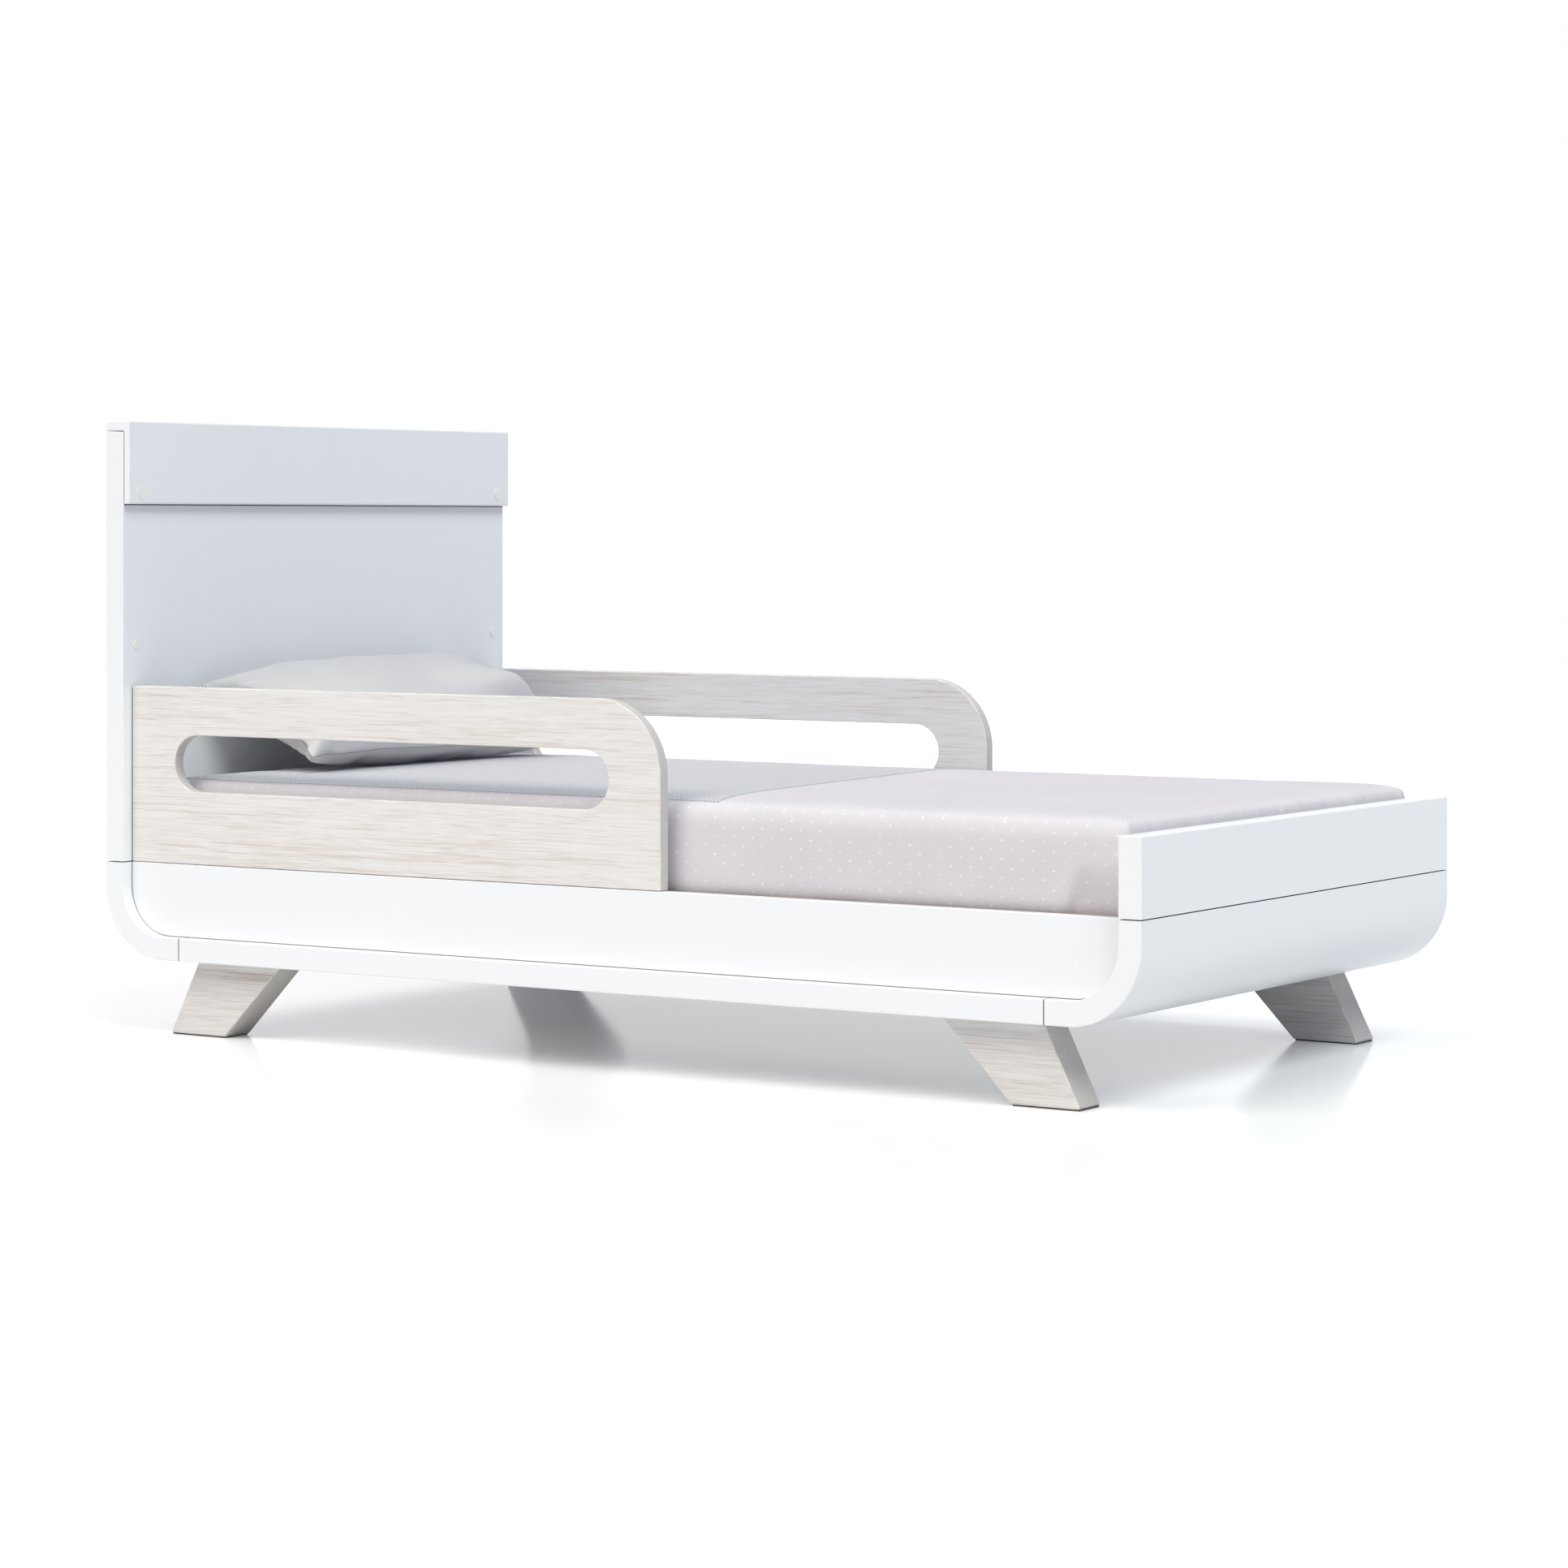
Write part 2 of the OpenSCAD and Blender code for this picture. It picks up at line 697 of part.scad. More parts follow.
floor_panel();
head_corner_bend();
foot_corner_bend();
headboard_panel();
footboard_panel();
headboard_cap();
cap_screws();
cap_screw_covers();
headboard_plugs();
side_panel_left();
side_panel_right();
side_panel_dowels();
side_panel_screws();
head_joint_dowels();
foot_joint_dowels();
head_cam_bolts();
foot_cam_bolts();
head_cam_locks();
foot_cam_locks();
guard_rail_left();
guard_rail_right();
guard_rail_pins();
leg_head_left();
leg_head_right();
leg_foot_left();
leg_foot_right();
leg_glides();
leg_bolts();
leg_washers();
leg_inserts();
support_cleat_left();
support_cleat_right();
cleat_screws();
base_rail_left();
base_rail_right();
slat(0);  // slat_01
slat(1);  // slat_02
slat(2);  // slat_03
slat(3);  // slat_04
slat(4);  // slat_05
slat(5);  // slat_06
slat(6);  // slat_07
slat(7);  // slat_08
slat(8);  // slat_09
slat(9);  // slat_10
slat(10);  // slat_11
slat_screws();
mattress();
pillow();
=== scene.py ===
import math

import bmesh
import bpy
import numpy as np
from mathutils import Matrix, Vector, noise
from mathutils.bvhtree import BVHTree
from mathutils.geometry import tessellate_polygon


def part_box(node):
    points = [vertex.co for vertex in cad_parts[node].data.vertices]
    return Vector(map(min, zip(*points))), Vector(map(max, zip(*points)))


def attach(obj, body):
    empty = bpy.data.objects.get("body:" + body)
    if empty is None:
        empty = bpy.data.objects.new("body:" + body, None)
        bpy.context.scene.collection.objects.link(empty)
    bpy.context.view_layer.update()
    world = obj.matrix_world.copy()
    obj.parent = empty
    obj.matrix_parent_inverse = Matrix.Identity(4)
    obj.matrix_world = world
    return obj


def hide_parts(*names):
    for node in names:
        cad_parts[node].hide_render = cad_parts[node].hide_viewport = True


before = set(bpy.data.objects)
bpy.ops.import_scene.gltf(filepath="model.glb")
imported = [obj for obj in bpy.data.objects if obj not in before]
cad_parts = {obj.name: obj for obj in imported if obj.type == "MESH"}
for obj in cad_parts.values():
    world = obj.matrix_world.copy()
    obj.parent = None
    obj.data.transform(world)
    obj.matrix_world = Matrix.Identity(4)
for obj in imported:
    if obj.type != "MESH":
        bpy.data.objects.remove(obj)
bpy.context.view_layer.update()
scene = bpy.context.scene
print("bed frame loaded")


# small helpers

def put(tree, kind, values=None, **settings):
    # adds a node; a value that is a socket is linked, anything else becomes the socket's own value
    node = tree.nodes.new(kind)
    for name, value in settings.items():
        setattr(node, name, value)
    for key, value in (values or {}).items():
        if isinstance(value, bpy.types.NodeSocket):
            tree.links.new(value, node.inputs[key])
        else:
            node.inputs[key].default_value = value
    return node


def calc(tree, operation, a, b=0.0, c=0.0, clamp=False):
    node = put(tree, "ShaderNodeMath", {0: a, 1: b, 2: c}, operation=operation, use_clamp=clamp)
    return node.outputs[0]


def times(tree, a, b):
    return calc(tree, "MULTIPLY", a, b)


def plus(tree, a, b):
    return calc(tree, "ADD", a, b)


def minus(tree, a, b):
    return calc(tree, "SUBTRACT", a, b)


def spread(tree, value, low, high, fromLow=0.0, fromHigh=1.0):
    return put(tree, "ShaderNodeMapRange", {"Value": value, "From Min": fromLow, "From Max": fromHigh,
                                            "To Min": low, "To Max": high}).outputs["Result"]


def noiseOver(tree, vector, scale, detail, roughness=0.5):
    return put(tree, "ShaderNodeTexNoise", {"Vector": vector, "Scale": scale, "Detail": detail,
                                            "Roughness": roughness}).outputs["Fac"]


def mixColours(tree, factor, a, b):
    a, b = [value if isinstance(value, bpy.types.NodeSocket) else (*value, 1.0) for value in (a, b)]
    return put(tree, "ShaderNodeMix", {0: factor, 6: a, 7: b}, data_type="RGBA").outputs[2]


def useGroup(tree, group, values):
    return put(tree, "ShaderNodeGroup", values, node_tree=group).outputs


def combined(tree, **parts):
    return put(tree, "ShaderNodeCombineXYZ", parts).outputs[0]


def newGroup(name, kind, inputs, outputs):
    group = bpy.data.node_groups.new(name, kind)
    for label, socketType, value in inputs:
        socket = group.interface.new_socket(name=label, in_out="INPUT", socket_type=socketType)
        if value is not None:
            socket.default_value = value
    for label, socketType in outputs:
        group.interface.new_socket(name=label, in_out="OUTPUT", socket_type=socketType)
    return group, group.nodes.new("NodeGroupInput").outputs, group.nodes.new("NodeGroupOutput").inputs


def baked(piece):
    # the evaluated piece as a plain mesh, without its modifiers
    depsgraph = bpy.context.evaluated_depsgraph_get()
    mesh = bpy.data.meshes.new_from_object(piece.evaluated_get(depsgraph), depsgraph=depsgraph)
    piece.modifiers.clear()
    piece.data = mesh
    mesh.name = piece.name
    return piece


def smooth(mesh):
    mesh.polygons.foreach_set("use_smooth", [True] * len(mesh.polygons))


def solidMesh(name, verts, faces):
    # a mesh with its faces turned outwards
    mesh = bpy.data.meshes.new(name)
    mesh.from_pydata(verts, [], faces)
    bm = bmesh.new()
    bm.from_mesh(mesh)
    bmesh.ops.recalc_face_normals(bm, faces=bm.faces)
    bm.to_mesh(mesh)
    bm.free()
    return mesh


def newPiece(name, mesh):
    piece = bpy.data.objects.new(name, mesh)
    scene.collection.objects.link(piece)
    return piece


def islandBoxes(nodeName):
    # lowest and highest corner of each separate solid of a CAD node
    bm = bmesh.new()
    bm.from_mesh(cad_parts[nodeName].data)
    bmesh.ops.remove_doubles(bm, verts=bm.verts, dist=1e-6)
    seen, boxes = set(), []
    for start in bm.verts:
        if start in seen:
            continue
        seen.add(start)
        stack, points = [start], []
        while stack:
            vert = stack.pop()
            points.append(vert.co.copy())
            for edge in vert.link_edges:
                other = edge.other_vert(vert)
                if other not in seen:
                    seen.add(other)
                    stack.append(other)
        boxes.append((Vector(map(min, zip(*points))), Vector(map(max, zip(*points)))))
    bm.free()
    return sorted(boxes, key=lambda b: (round(b[0].x, 4), round(b[0].y, 4), round(b[0].z, 4)))


# boards: an outline in X and Z, drawn out along Y, with rounded arrises

boards = {
    "arris": 0.0011,        # rounding of a board's edges
    "arrisSteps": 3,
    "corner": 0.0018,       # rounding of the outline's sharp corners
    "jointGap": 0.0006,     # half of the hairline at a joint
    "arcStep": 0.003,       # longest step along an arc
}


def filleted(corners, joints=(), gapShadeEdges=()):
    # corners are (x, z, radius), counterclockwise; an edge is named by its first corner.
    # joints stay sharp and flat; their faces and those of the listed edges get the near-black painted shade of a dark
    # gap; "r1" is the curve at corner 1
    points, held, gapShadeMark = [], [], []
    count = len(corners)
    for i, (x, z, radius) in enumerate(corners):
        here = Vector((x, z))
        back = (Vector(corners[i - 1][:2]) - here).normalized()
        ahead = (Vector(corners[(i + 1) % count][:2]) - here).normalized()
        run = [(x, z)]
        if radius > 0:
            half = back.angle(ahead) / 2
            centre = here + (back + ahead).normalized() * (radius / math.sin(half))
            reach = radius / math.tan(half)
            startAngle = math.atan2(*reversed(here + back * reach - centre))
            turn = math.atan2(*reversed(here + ahead * reach - centre)) - startAngle
            turn = (turn + math.pi) % (2 * math.pi) - math.pi
            steps = max(4, math.ceil(radius * abs(turn) / boards["arcStep"]))
            run = [(centre.x + radius * math.cos(startAngle + turn * k / steps),
                    centre.y + radius * math.sin(startAngle + turn * k / steps)) for k in range(steps + 1)]
        for point in run:
            if points and (Vector(points[-1]) - Vector(point)).length < 1e-6:
                continue
            points.append(point)
            held.append(False)
            gapShadeMark.append(f"r{i}" in gapShadeEdges)
        held[-1] = i in joints
        gapShadeMark[-1] = i in joints or i in gapShadeEdges
    if (Vector(points[0]) - Vector(points[-1])).length < 1e-6:
        points.pop()
        held.pop()
        gapShadeMark.pop()
    return points, held, gapShadeMark


def pulledIn(outline, distance):
    # the outline moved inwards by a distance, except along its joints
    points, held, _ = outline
    moved = []
    for i, point in enumerate(points):
        before = Vector(point) - Vector(points[i - 1])
        after = Vector(points[(i + 1) % len(points)]) - Vector(point)
        n1 = Vector((before.y, -before.x)).normalized()
        n2 = Vector((after.y, -after.x)).normalized()
        d1 = 0 if held[i - 1] else -distance
        d2 = 0 if held[i] else -distance
        cross = n1.x * n2.y - n1.y * n2.x
        if abs(cross) < 0.02:
            shift = n1 * (d1 + d2) / 2
        else:
            shift = Vector(((d1 * n2.y - d2 * n1.y) / cross, (d2 * n1.x - d1 * n2.x) / cross))
        moved.append((point[0] + shift.x, point[1] + shift.y))
    return moved


def slab(name, outline, span, holes=(), arris=None):
    arris = boards["arris"] if arris is None else arris
    steps = boards["arrisSteps"]
    profile = []
    for k in range(steps + 1):
        angle = k / steps * math.pi / 2
        profile.append((arris * (1 - math.sin(angle)), span[0] + arris * (1 - math.cos(angle)), k))
    for k in range(steps, -1, -1):
        angle = k / steps * math.pi / 2
        profile.append((arris * (1 - math.sin(angle)), span[1] - arris * (1 - math.cos(angle)), k))
    verts, faces, rim, onArris, gapShadeFaces = [], [], [], [], []
    capLoops = [[], []]
    for outlineLoop in [outline, *holes]:
        count = len(outlineLoop[0])
        firsts = []
        for inset, y, k in profile:
            firsts.append(len(verts))
            verts += [(x, y, z) for x, z in pulledIn(outlineLoop, inset)]
            rim += [min(1.0, k / max(1, steps - 1))] * count
            onArris += [1.0 if 0 < k < steps else 0.0] * count
        for row, (a, b) in enumerate(zip(firsts, firsts[1:])):
            for i in range(count):
                j = (i + 1) % count
                faces.append((a + i, a + j, b + j, b + i))
                # marked edge faces on the flat row take the near-black painted gap shade
                flatRow = row == steps or outlineLoop[1][i]
                gapShadeFaces.append(1 if outlineLoop[2][i] and flatRow else 0)
        capLoops[0].append(list(range(firsts[0], firsts[0] + count)))
        capLoops[1].append(list(range(firsts[-1], firsts[-1] + count)))
    for loops in capLoops:
        if len(loops) == 1:
            faces.append(tuple(loops[0]))
        else:
            order = [index for ring in loops for index in ring]
            flat = [[Vector((verts[i][0], verts[i][2], 0)) for i in ring] for ring in loops]
            faces += [tuple(order[i] for i in tri) for tri in tessellate_polygon(flat)]
    mesh = solidMesh(name, verts, faces)
    mesh.polygons.foreach_set("material_index", gapShadeFaces + [0] * (len(faces) - len(gapShadeFaces)))
    for label, values in (("rim", rim), ("arris", onArris)):
        mesh.attributes.new(label, "FLOAT", "POINT").data.foreach_set("value", values)
    smooth(mesh)
    return newPiece(name, mesh)


def rectangle(x0, z0, x1, z1, radii=None, joints=(), gapShadeEdges=()):
    # corners counterclockwise from the lower left; joints 0 bottom, 1 right, 2 top, 3 left
    radii = radii or [boards["corner"]] * 4
    radii = [0 if (i in joints or (i - 1) % 4 in joints) else r for i, r in enumerate(radii)]
    corners = [(x0, z0, radii[0]), (x1, z0, radii[1]), (x1, z1, radii[2]), (x0, z1, radii[3])]
    return filleted(corners, joints, gapShadeEdges)


def drill(bits):
    # cutter of several rods; a bit is (start, end, start radius, end radius)
    bm = bmesh.new()
    for start, end, r0, r1 in bits:
        axis = end - start
        turn = axis.to_track_quat("Z", "Y").to_matrix().to_4x4()
        place = Matrix.Translation((start + end) / 2) @ turn
        bmesh.ops.create_cone(bm, cap_ends=True, segments=40, radius1=r0, radius2=r1,
                              depth=axis.length, matrix=place)
    mesh = bpy.data.meshes.new("drillBits")
    bm.to_mesh(mesh)
    bm.free()
    return newPiece("drillBits", mesh)


def carve(piece, bits):
    marks = {}
    for vert, rimValue, onArrisValue in zip(piece.data.vertices, piece.data.attributes["rim"].data,
                                         piece.data.attributes["arris"].data):
        marks[tuple(round(c, 6) for c in vert.co)] = (rimValue.value, onArrisValue.value)
    piece.data.materials.append(None)
    piece.data.materials.append(None)
    cutter = drill(bits)
    cut = piece.modifiers.new("holes", "BOOLEAN")
    cut.object, cut.operation, cut.solver = cutter, "DIFFERENCE", "EXACT"
    baked(piece)
    bpy.data.objects.remove(cutter)
    kept = [marks.get(tuple(round(c, 6) for c in vert.co), (1.0, 0.0)) for vert in piece.data.vertices]
    for k, label in enumerate(("rim", "arris")):
        if label not in piece.data.attributes:
            piece.data.attributes.new(label, "FLOAT", "POINT")
        piece.data.attributes[label].data.foreach_set("value", [pair[k] for pair in kept])
    smooth(piece.data)
    return piece


def evenShade(piece, sharpAngle=50):
    piece.data.set_sharp_from_angle(angle=math.radians(sharpAngle))
    even = piece.modifiers.new("even shading", "WEIGHTED_NORMAL")
    even.mode, even.weight, even.keep_sharp = "FACE_AREA", 50, True
    return piece


def turned(name, profile, places):
    # a profile of (radius, height) turned round an axis, once for each (foot, direction)
    verts, faces = [], []
    segments = 40
    for foot, direction in places:
        turn = Vector(direction).to_track_quat("Z", "Y").to_matrix()
        start = len(verts)
        for radius, height in profile:
            for k in range(segments):
                angle = 2 * math.pi * k / segments
                verts.append(foot + turn @ Vector((radius * math.cos(angle), radius * math.sin(angle), height)))
        rows = len(profile)
        for row in range(rows - 1):
            for k in range(segments):
                a, b = start + row * segments + k, start + row * segments + (k + 1) % segments
                faces.append((a, b, b + segments, a + segments))
        faces.append(tuple(range(start + segments - 1, start - 1, -1)))
        top = start + (rows - 1) * segments
        faces.append(tuple(range(top, top + segments)))
    mesh = solidMesh(name, verts, faces)
    smooth(mesh)
    return evenShade(newPiece(name, mesh), 35)


# shader groups shared by the finishes

def lacquerSkinGroup():
    # faint orange peel and sanding haze of a sprayed board
    group, given, out = newGroup("lacquerSkin", "ShaderNodeTree", [
        ("Vector", "NodeSocketVector", None), ("Peel Scale", "NodeSocketFloat", 240.0),
        ("Haze Scale", "NodeSocketFloat", 5.0)],
        [("Haze", "NodeSocketFloat"), ("Height", "NodeSocketFloat")])
    peel = noiseOver(group, given["Vector"], given["Peel Scale"], 2.0, 0.4)
    haze = noiseOver(group, given["Vector"], given["Haze Scale"], 4.0, 0.6)
    group.links.new(haze, out["Haze"])
    group.links.new(peel, out["Height"])
    return group


def edgeWearAndHighlightGroup():
    # where hands and cloths have rubbed an arris, broken up along its length; the lighter colour it gives is partly
    # wear and partly a painted highlight on the edge
    group, given, out = newGroup("edgeWearAndHighlight", "ShaderNodeTree", [
        ("Vector", "NodeSocketVector", None), ("Scale", "NodeSocketFloat", 45.0),
        ("Amount", "NodeSocketFloat", 0.5)], [("Mask", "NodeSocketFloat")])
    edge = put(group, "ShaderNodeAttribute", attribute_name="arris")
    patches = noiseOver(group, given["Vector"], given["Scale"], 3.0)
    broken = spread(group, patches, 0.0, 1.0, 0.4, 0.62)
    mask = times(group, edge.outputs["Fac"], broken)
    group.links.new(times(group, mask, given["Amount"]), out["Mask"])
    return group


def dustGroup():
    # fine dust on faces that look up
    group, given, out = newGroup("dust", "ShaderNodeTree", [
        ("Vector", "NodeSocketVector", None), ("Scale", "NodeSocketFloat", 420.0),
        ("Amount", "NodeSocketFloat", 0.3)], [("Mask", "NodeSocketFloat")])
    geometry = put(group, "ShaderNodeNewGeometry")
    up = put(group, "ShaderNodeSeparateXYZ", {0: geometry.outputs["Normal"]})
    facing = calc(group, "SMOOTH_MIN", calc(group, "MAXIMUM", up.outputs["Z"], 0.0), 1.0, 0.1)
    specks = noiseOver(group, given["Vector"], given["Scale"], 2.0)
    fine = spread(group, specks, 0.0, 1.0, 0.58, 0.72)
    mask = times(group, times(group, facing, fine), given["Amount"])
    group.links.new(mask, out["Mask"])
    return group


def grainGroup():
    # long wood grain along X: broad streaks, fibres and short pores
    group, given, out = newGroup("longGrain", "ShaderNodeTree", [
        ("Vector", "NodeSocketVector", None), ("Seed", "NodeSocketFloat", 0.0),
        ("Streak Scale", "NodeSocketFloat", 1.0), ("Waviness", "NodeSocketFloat", 0.006)],
        [("Streak", "NodeSocketFloat"), ("Fibre", "NodeSocketFloat"), ("Pore", "NodeSocketFloat"),
         ("Height", "NodeSocketFloat")])
    spot = put(group, "ShaderNodeSeparateXYZ", {0: given["Vector"]})
    drift = noiseOver(group, given["Vector"], 3.2, 2.0)
    across = calc(group, "MULTIPLY_ADD", minus(group, drift, 0.5),
                  given["Waviness"], plus(group, spot.outputs["Z"], given["Seed"]))

    def bands(alongScale, acrossScale, detail, rough):
        stretched = combined(group, X=times(group, spot.outputs["X"], alongScale),
                             Y=times(group, spot.outputs["Y"], 4.0), Z=times(group, across, acrossScale))
        scaled = put(group, "ShaderNodeVectorMath", {0: stretched, "Scale": given["Streak Scale"]},
                     operation="SCALE")
        return noiseOver(group, scaled.outputs[0], 1.0, detail, rough)

    cloud = bands(2.6, 42.0, 2.0, 0.5)
    broad = bands(6.5, 330.0, 4.0, 0.62)
    fibre = bands(15.0, 950.0, 3.0, 0.6)
    pores = bands(26.0, 1300.0, 1.0, 0.5)
    gathered = calc(group, "MULTIPLY_ADD", minus(group, cloud, 0.5), 0.5, broad)
    streak = spread(group, gathered, 0.0, 1.0, 0.53, 0.80)
    pore = spread(group, pores, 0.0, 1.0, 0.6, 0.7)
    group.links.new(streak, out["Streak"])
    group.links.new(fibre, out["Fibre"])
    group.links.new(pore, out["Pore"])
    height = calc(group, "MULTIPLY_ADD", pore, -0.8, fibre)
    group.links.new(height, out["Height"])
    return group


def weaveGroup():
    # plain weave from two sets of threads
    group, given, out = newGroup("plainWeave", "ShaderNodeTree", [
        ("Vector", "NodeSocketVector", None), ("Thread Pitch", "NodeSocketFloat", 0.0007)],
        [("Thread", "NodeSocketFloat"), ("Height", "NodeSocketFloat"), ("Slub", "NodeSocketFloat")])
    spot = put(group, "ShaderNodeSeparateXYZ", {0: given["Vector"]})
    step = calc(group, "DIVIDE", math.pi, given["Thread Pitch"])
    warp = calc(group, "SINE", times(group, spot.outputs["X"], step))
    weft = calc(group, "SINE", times(group, spot.outputs["Y"], step))
    thread = calc(group, "MULTIPLY_ADD", times(group, warp, weft), 0.5, 0.5)
    slub = noiseOver(group, given["Vector"], 190.0, 3.0, 0.65)
    group.links.new(thread, out["Thread"])
    group.links.new(calc(group, "MULTIPLY_ADD", slub, 0.6, thread), out["Height"])
    group.links.new(slub, out["Slub"])
    return group


def crossGridGroup():
    # small crosses in staggered rows
    group, given, out = newGroup("crossGrid", "ShaderNodeTree", [
        ("Vector", "NodeSocketVector", None), ("Pitch Along", "NodeSocketFloat", 0.025),
        ("Pitch Across", "NodeSocketFloat", 0.02), ("Arm", "NodeSocketFloat", 0.0023),
        ("Stroke", "NodeSocketFloat", 0.00075)], [("Mask", "NodeSocketFloat")])
    spot = put(group, "ShaderNodeSeparateXYZ", {0: given["Vector"]})
    soft = 0.0006
    masks = []
    for offset in (0.0, 0.5):
        away = []
        for coordinate, pitch in (("X", "Pitch Along"), ("Y", "Pitch Across")):
            cell = plus(group, calc(group, "DIVIDE", spot.outputs[coordinate], given[pitch]), offset)
            fromCentre = minus(group, calc(group, "FRACT", cell), 0.5)
            away.append(times(group, calc(group, "ABSOLUTE", fromCentre), given[pitch]))
        for longWay, shortWay in (away, away[::-1]):
            inArm = calc(group, "DIVIDE", minus(group, given["Arm"], longWay), soft, clamp=True)
            inStroke = calc(group, "DIVIDE", minus(group, given["Stroke"], shortWay), soft, clamp=True)
            masks.append(times(group, inArm, inStroke))
    top = masks[0]
    for mask in masks[1:]:
        top = calc(group, "MAXIMUM", top, mask)
    group.links.new(top, out["Mask"])
    return group


lacquerSkin = lacquerSkinGroup()
edgeWearAndHighlight = edgeWearAndHighlightGroup()
dust = dustGroup()
longGrain = grainGroup()
plainWeave = weaveGroup()
crossGrid = crossGridGroup()
print("shader groups built")


# finishes

def newFinish(name, values):
    material = bpy.data.materials.new(name)
    material.use_nodes = True
    tree = material.node_tree
    for key, value in values.items():
        tree.nodes["Principled BSDF"].inputs[key].default_value = value
    return material, tree, put(tree, "ShaderNodeTexCoord").outputs["Object"]


def dress(tree, colour, roughness=None, height=None, depth=1.0):
    # links colour, roughness and relief to the finish's shader
    sockets = tree.nodes["Principled BSDF"].inputs
    tree.links.new(colour, sockets["Base Color"])
    if roughness is not None:
        tree.links.new(roughness, sockets["Roughness"])
    if height is not None:
        bump = put(tree, "ShaderNodeBump", {"Height": height, "Distance": depth, "Strength": 1.0})
        tree.links.new(bump.outputs["Normal"], sockets["Normal"])


lacquerLook = {
    "white": (0.868, 0.872, 0.885), "shade": (0.842, 0.848, 0.864), "wornAndHighlit": (0.905, 0.905, 0.91),
    "dusty": (0.80, 0.79, 0.77), "roughness": (0.29, 0.38), "peel": 0.00004,
    "wearAndHighlight": 0.6, "dust": 0.12,           # how much of an edge is lightened as wear and painted highlight, of a face dusty
}


def lacquerFinish(name, look):
    material, tree, place = newFinish(name, {"Specular IOR Level": 0.5, "Coat Weight": 0.25,
                                             "Coat Roughness": 0.12})
    skin = useGroup(tree, lacquerSkin, {"Vector": place})
    wornAndHighlit = useGroup(tree, edgeWearAndHighlight, {"Vector": place, "Amount": look["wearAndHighlight"]})
    dusty = useGroup(tree, dust, {"Vector": place, "Amount": look["dust"]})
    colour = mixColours(tree, skin["Haze"], look["shade"], look["white"])
    # lighter arrises: partly wear, partly painted highlight
    colour = mixColours(tree, wornAndHighlit["Mask"], colour, look["wornAndHighlit"])
    colour = mixColours(tree, dusty["Mask"], colour, look["dusty"])
    rough = plus(tree, spread(tree, skin["Haze"], *look["roughness"]), times(tree, dusty["Mask"], 0.3))
    dress(tree, colour, rough, skin["Height"], look["peel"])
    return material


washedLook = {
    "wash": (0.82, 0.797, 0.783), "fibre": (0.75, 0.717, 0.692), "streak": (0.62, 0.50, 0.41),
    "pore": (0.50, 0.42, 0.36), "edgeBand": (0.60, 0.565, 0.54), "edgeFleck": (0.555, 0.53, 0.505),
    "wornAndHighlit": (0.86, 0.84, 0.81), "roughness": (0.42, 0.6), "relief": 0.00012,
}
# the far rail's wood made darker and bluer: painted shade, the same boards as the near rail
shadedFarRailLook = dict(washedLook, wash=(0.705, 0.703, 0.725), fibre=(0.645, 0.638, 0.645),
                    streak=(0.515, 0.435, 0.385))
legLook = dict(washedLook, wash=(0.785, 0.762, 0.742), fibre=(0.665, 0.63, 0.60), streak=(0.44, 0.32, 0.22))


def washedWoodFinish(name, look, seed):
    material, tree, place = newFinish(name, {"Specular IOR Level": 0.4})
    grain = useGroup(tree, longGrain, {"Vector": place, "Seed": seed})
    wornAndHighlit = useGroup(tree, edgeWearAndHighlight, {"Vector": place, "Amount": 0.8})
    edge = put(tree, "ShaderNodeAttribute", attribute_name="rim").outputs["Fac"]
    face = mixColours(tree, spread(tree, grain["Fibre"], 0.0, 1.0, 0.35, 0.65), look["wash"], look["fibre"])
    streaked = times(tree, grain["Streak"], spread(tree, grain["Fibre"], 0.25, 1.0, 0.4, 0.6))
    face = mixColours(tree, streaked, face, look["streak"])
    face = mixColours(tree, times(tree, grain["Pore"], 0.4), face, look["pore"])
    flecks = noiseOver(tree, place, 260.0, 3.0)
    band = mixColours(tree, spread(tree, flecks, 0.0, 1.0, 0.4, 0.6), look["edgeBand"], look["edgeFleck"])
    colour = mixColours(tree, edge, face, band)
    # lighter arrises: partly wear, partly painted highlight
    colour = mixColours(tree, wornAndHighlit["Mask"], colour, look["wornAndHighlit"])
    smoothEdge = times(tree, grain["Height"], minus(tree, 1.0, edge))
    dress(tree, colour, spread(tree, grain["Fibre"], *look["roughness"]), smoothEdge, look["relief"])
    return material


def rawWoodFinish(name, pale, dark, seed, alongAxis="X"):
    material, tree, place = newFinish(name, {"Specular IOR Level": 0.35})
    if alongAxis == "Y":
        quarter = math.pi / 2
        turnedPlace = put(tree, "ShaderNodeMapping", {"Vector": place, "Rotation": (quarter, 0, quarter)})
        place = turnedPlace.outputs["Vector"]
    grain = useGroup(tree, longGrain, {"Vector": place, "Seed": seed, "Streak Scale": 0.6, "Waviness": 0.02})
    colour = mixColours(tree, grain["Streak"], pale, dark)
    colour = mixColours(tree, times(tree, grain["Fibre"], 0.35), colour, tuple(c * 0.82 for c in pale))
    dress(tree, colour, spread(tree, grain["Fibre"], 0.5, 0.72), grain["Height"], 0.0002)
    return material


def metalFinish(name, bright, dull, roughness):
    material, tree, place = newFinish(name, {"Metallic": 1.0})
    grime, marks = noiseOver(tree, place, 90.0, 4.0), noiseOver(tree, place, 300.0, 2.0)
    dress(tree, mixColours(tree, grime, bright, dull), spread(tree, grime, *roughness), marks, 0.00004)
    return material


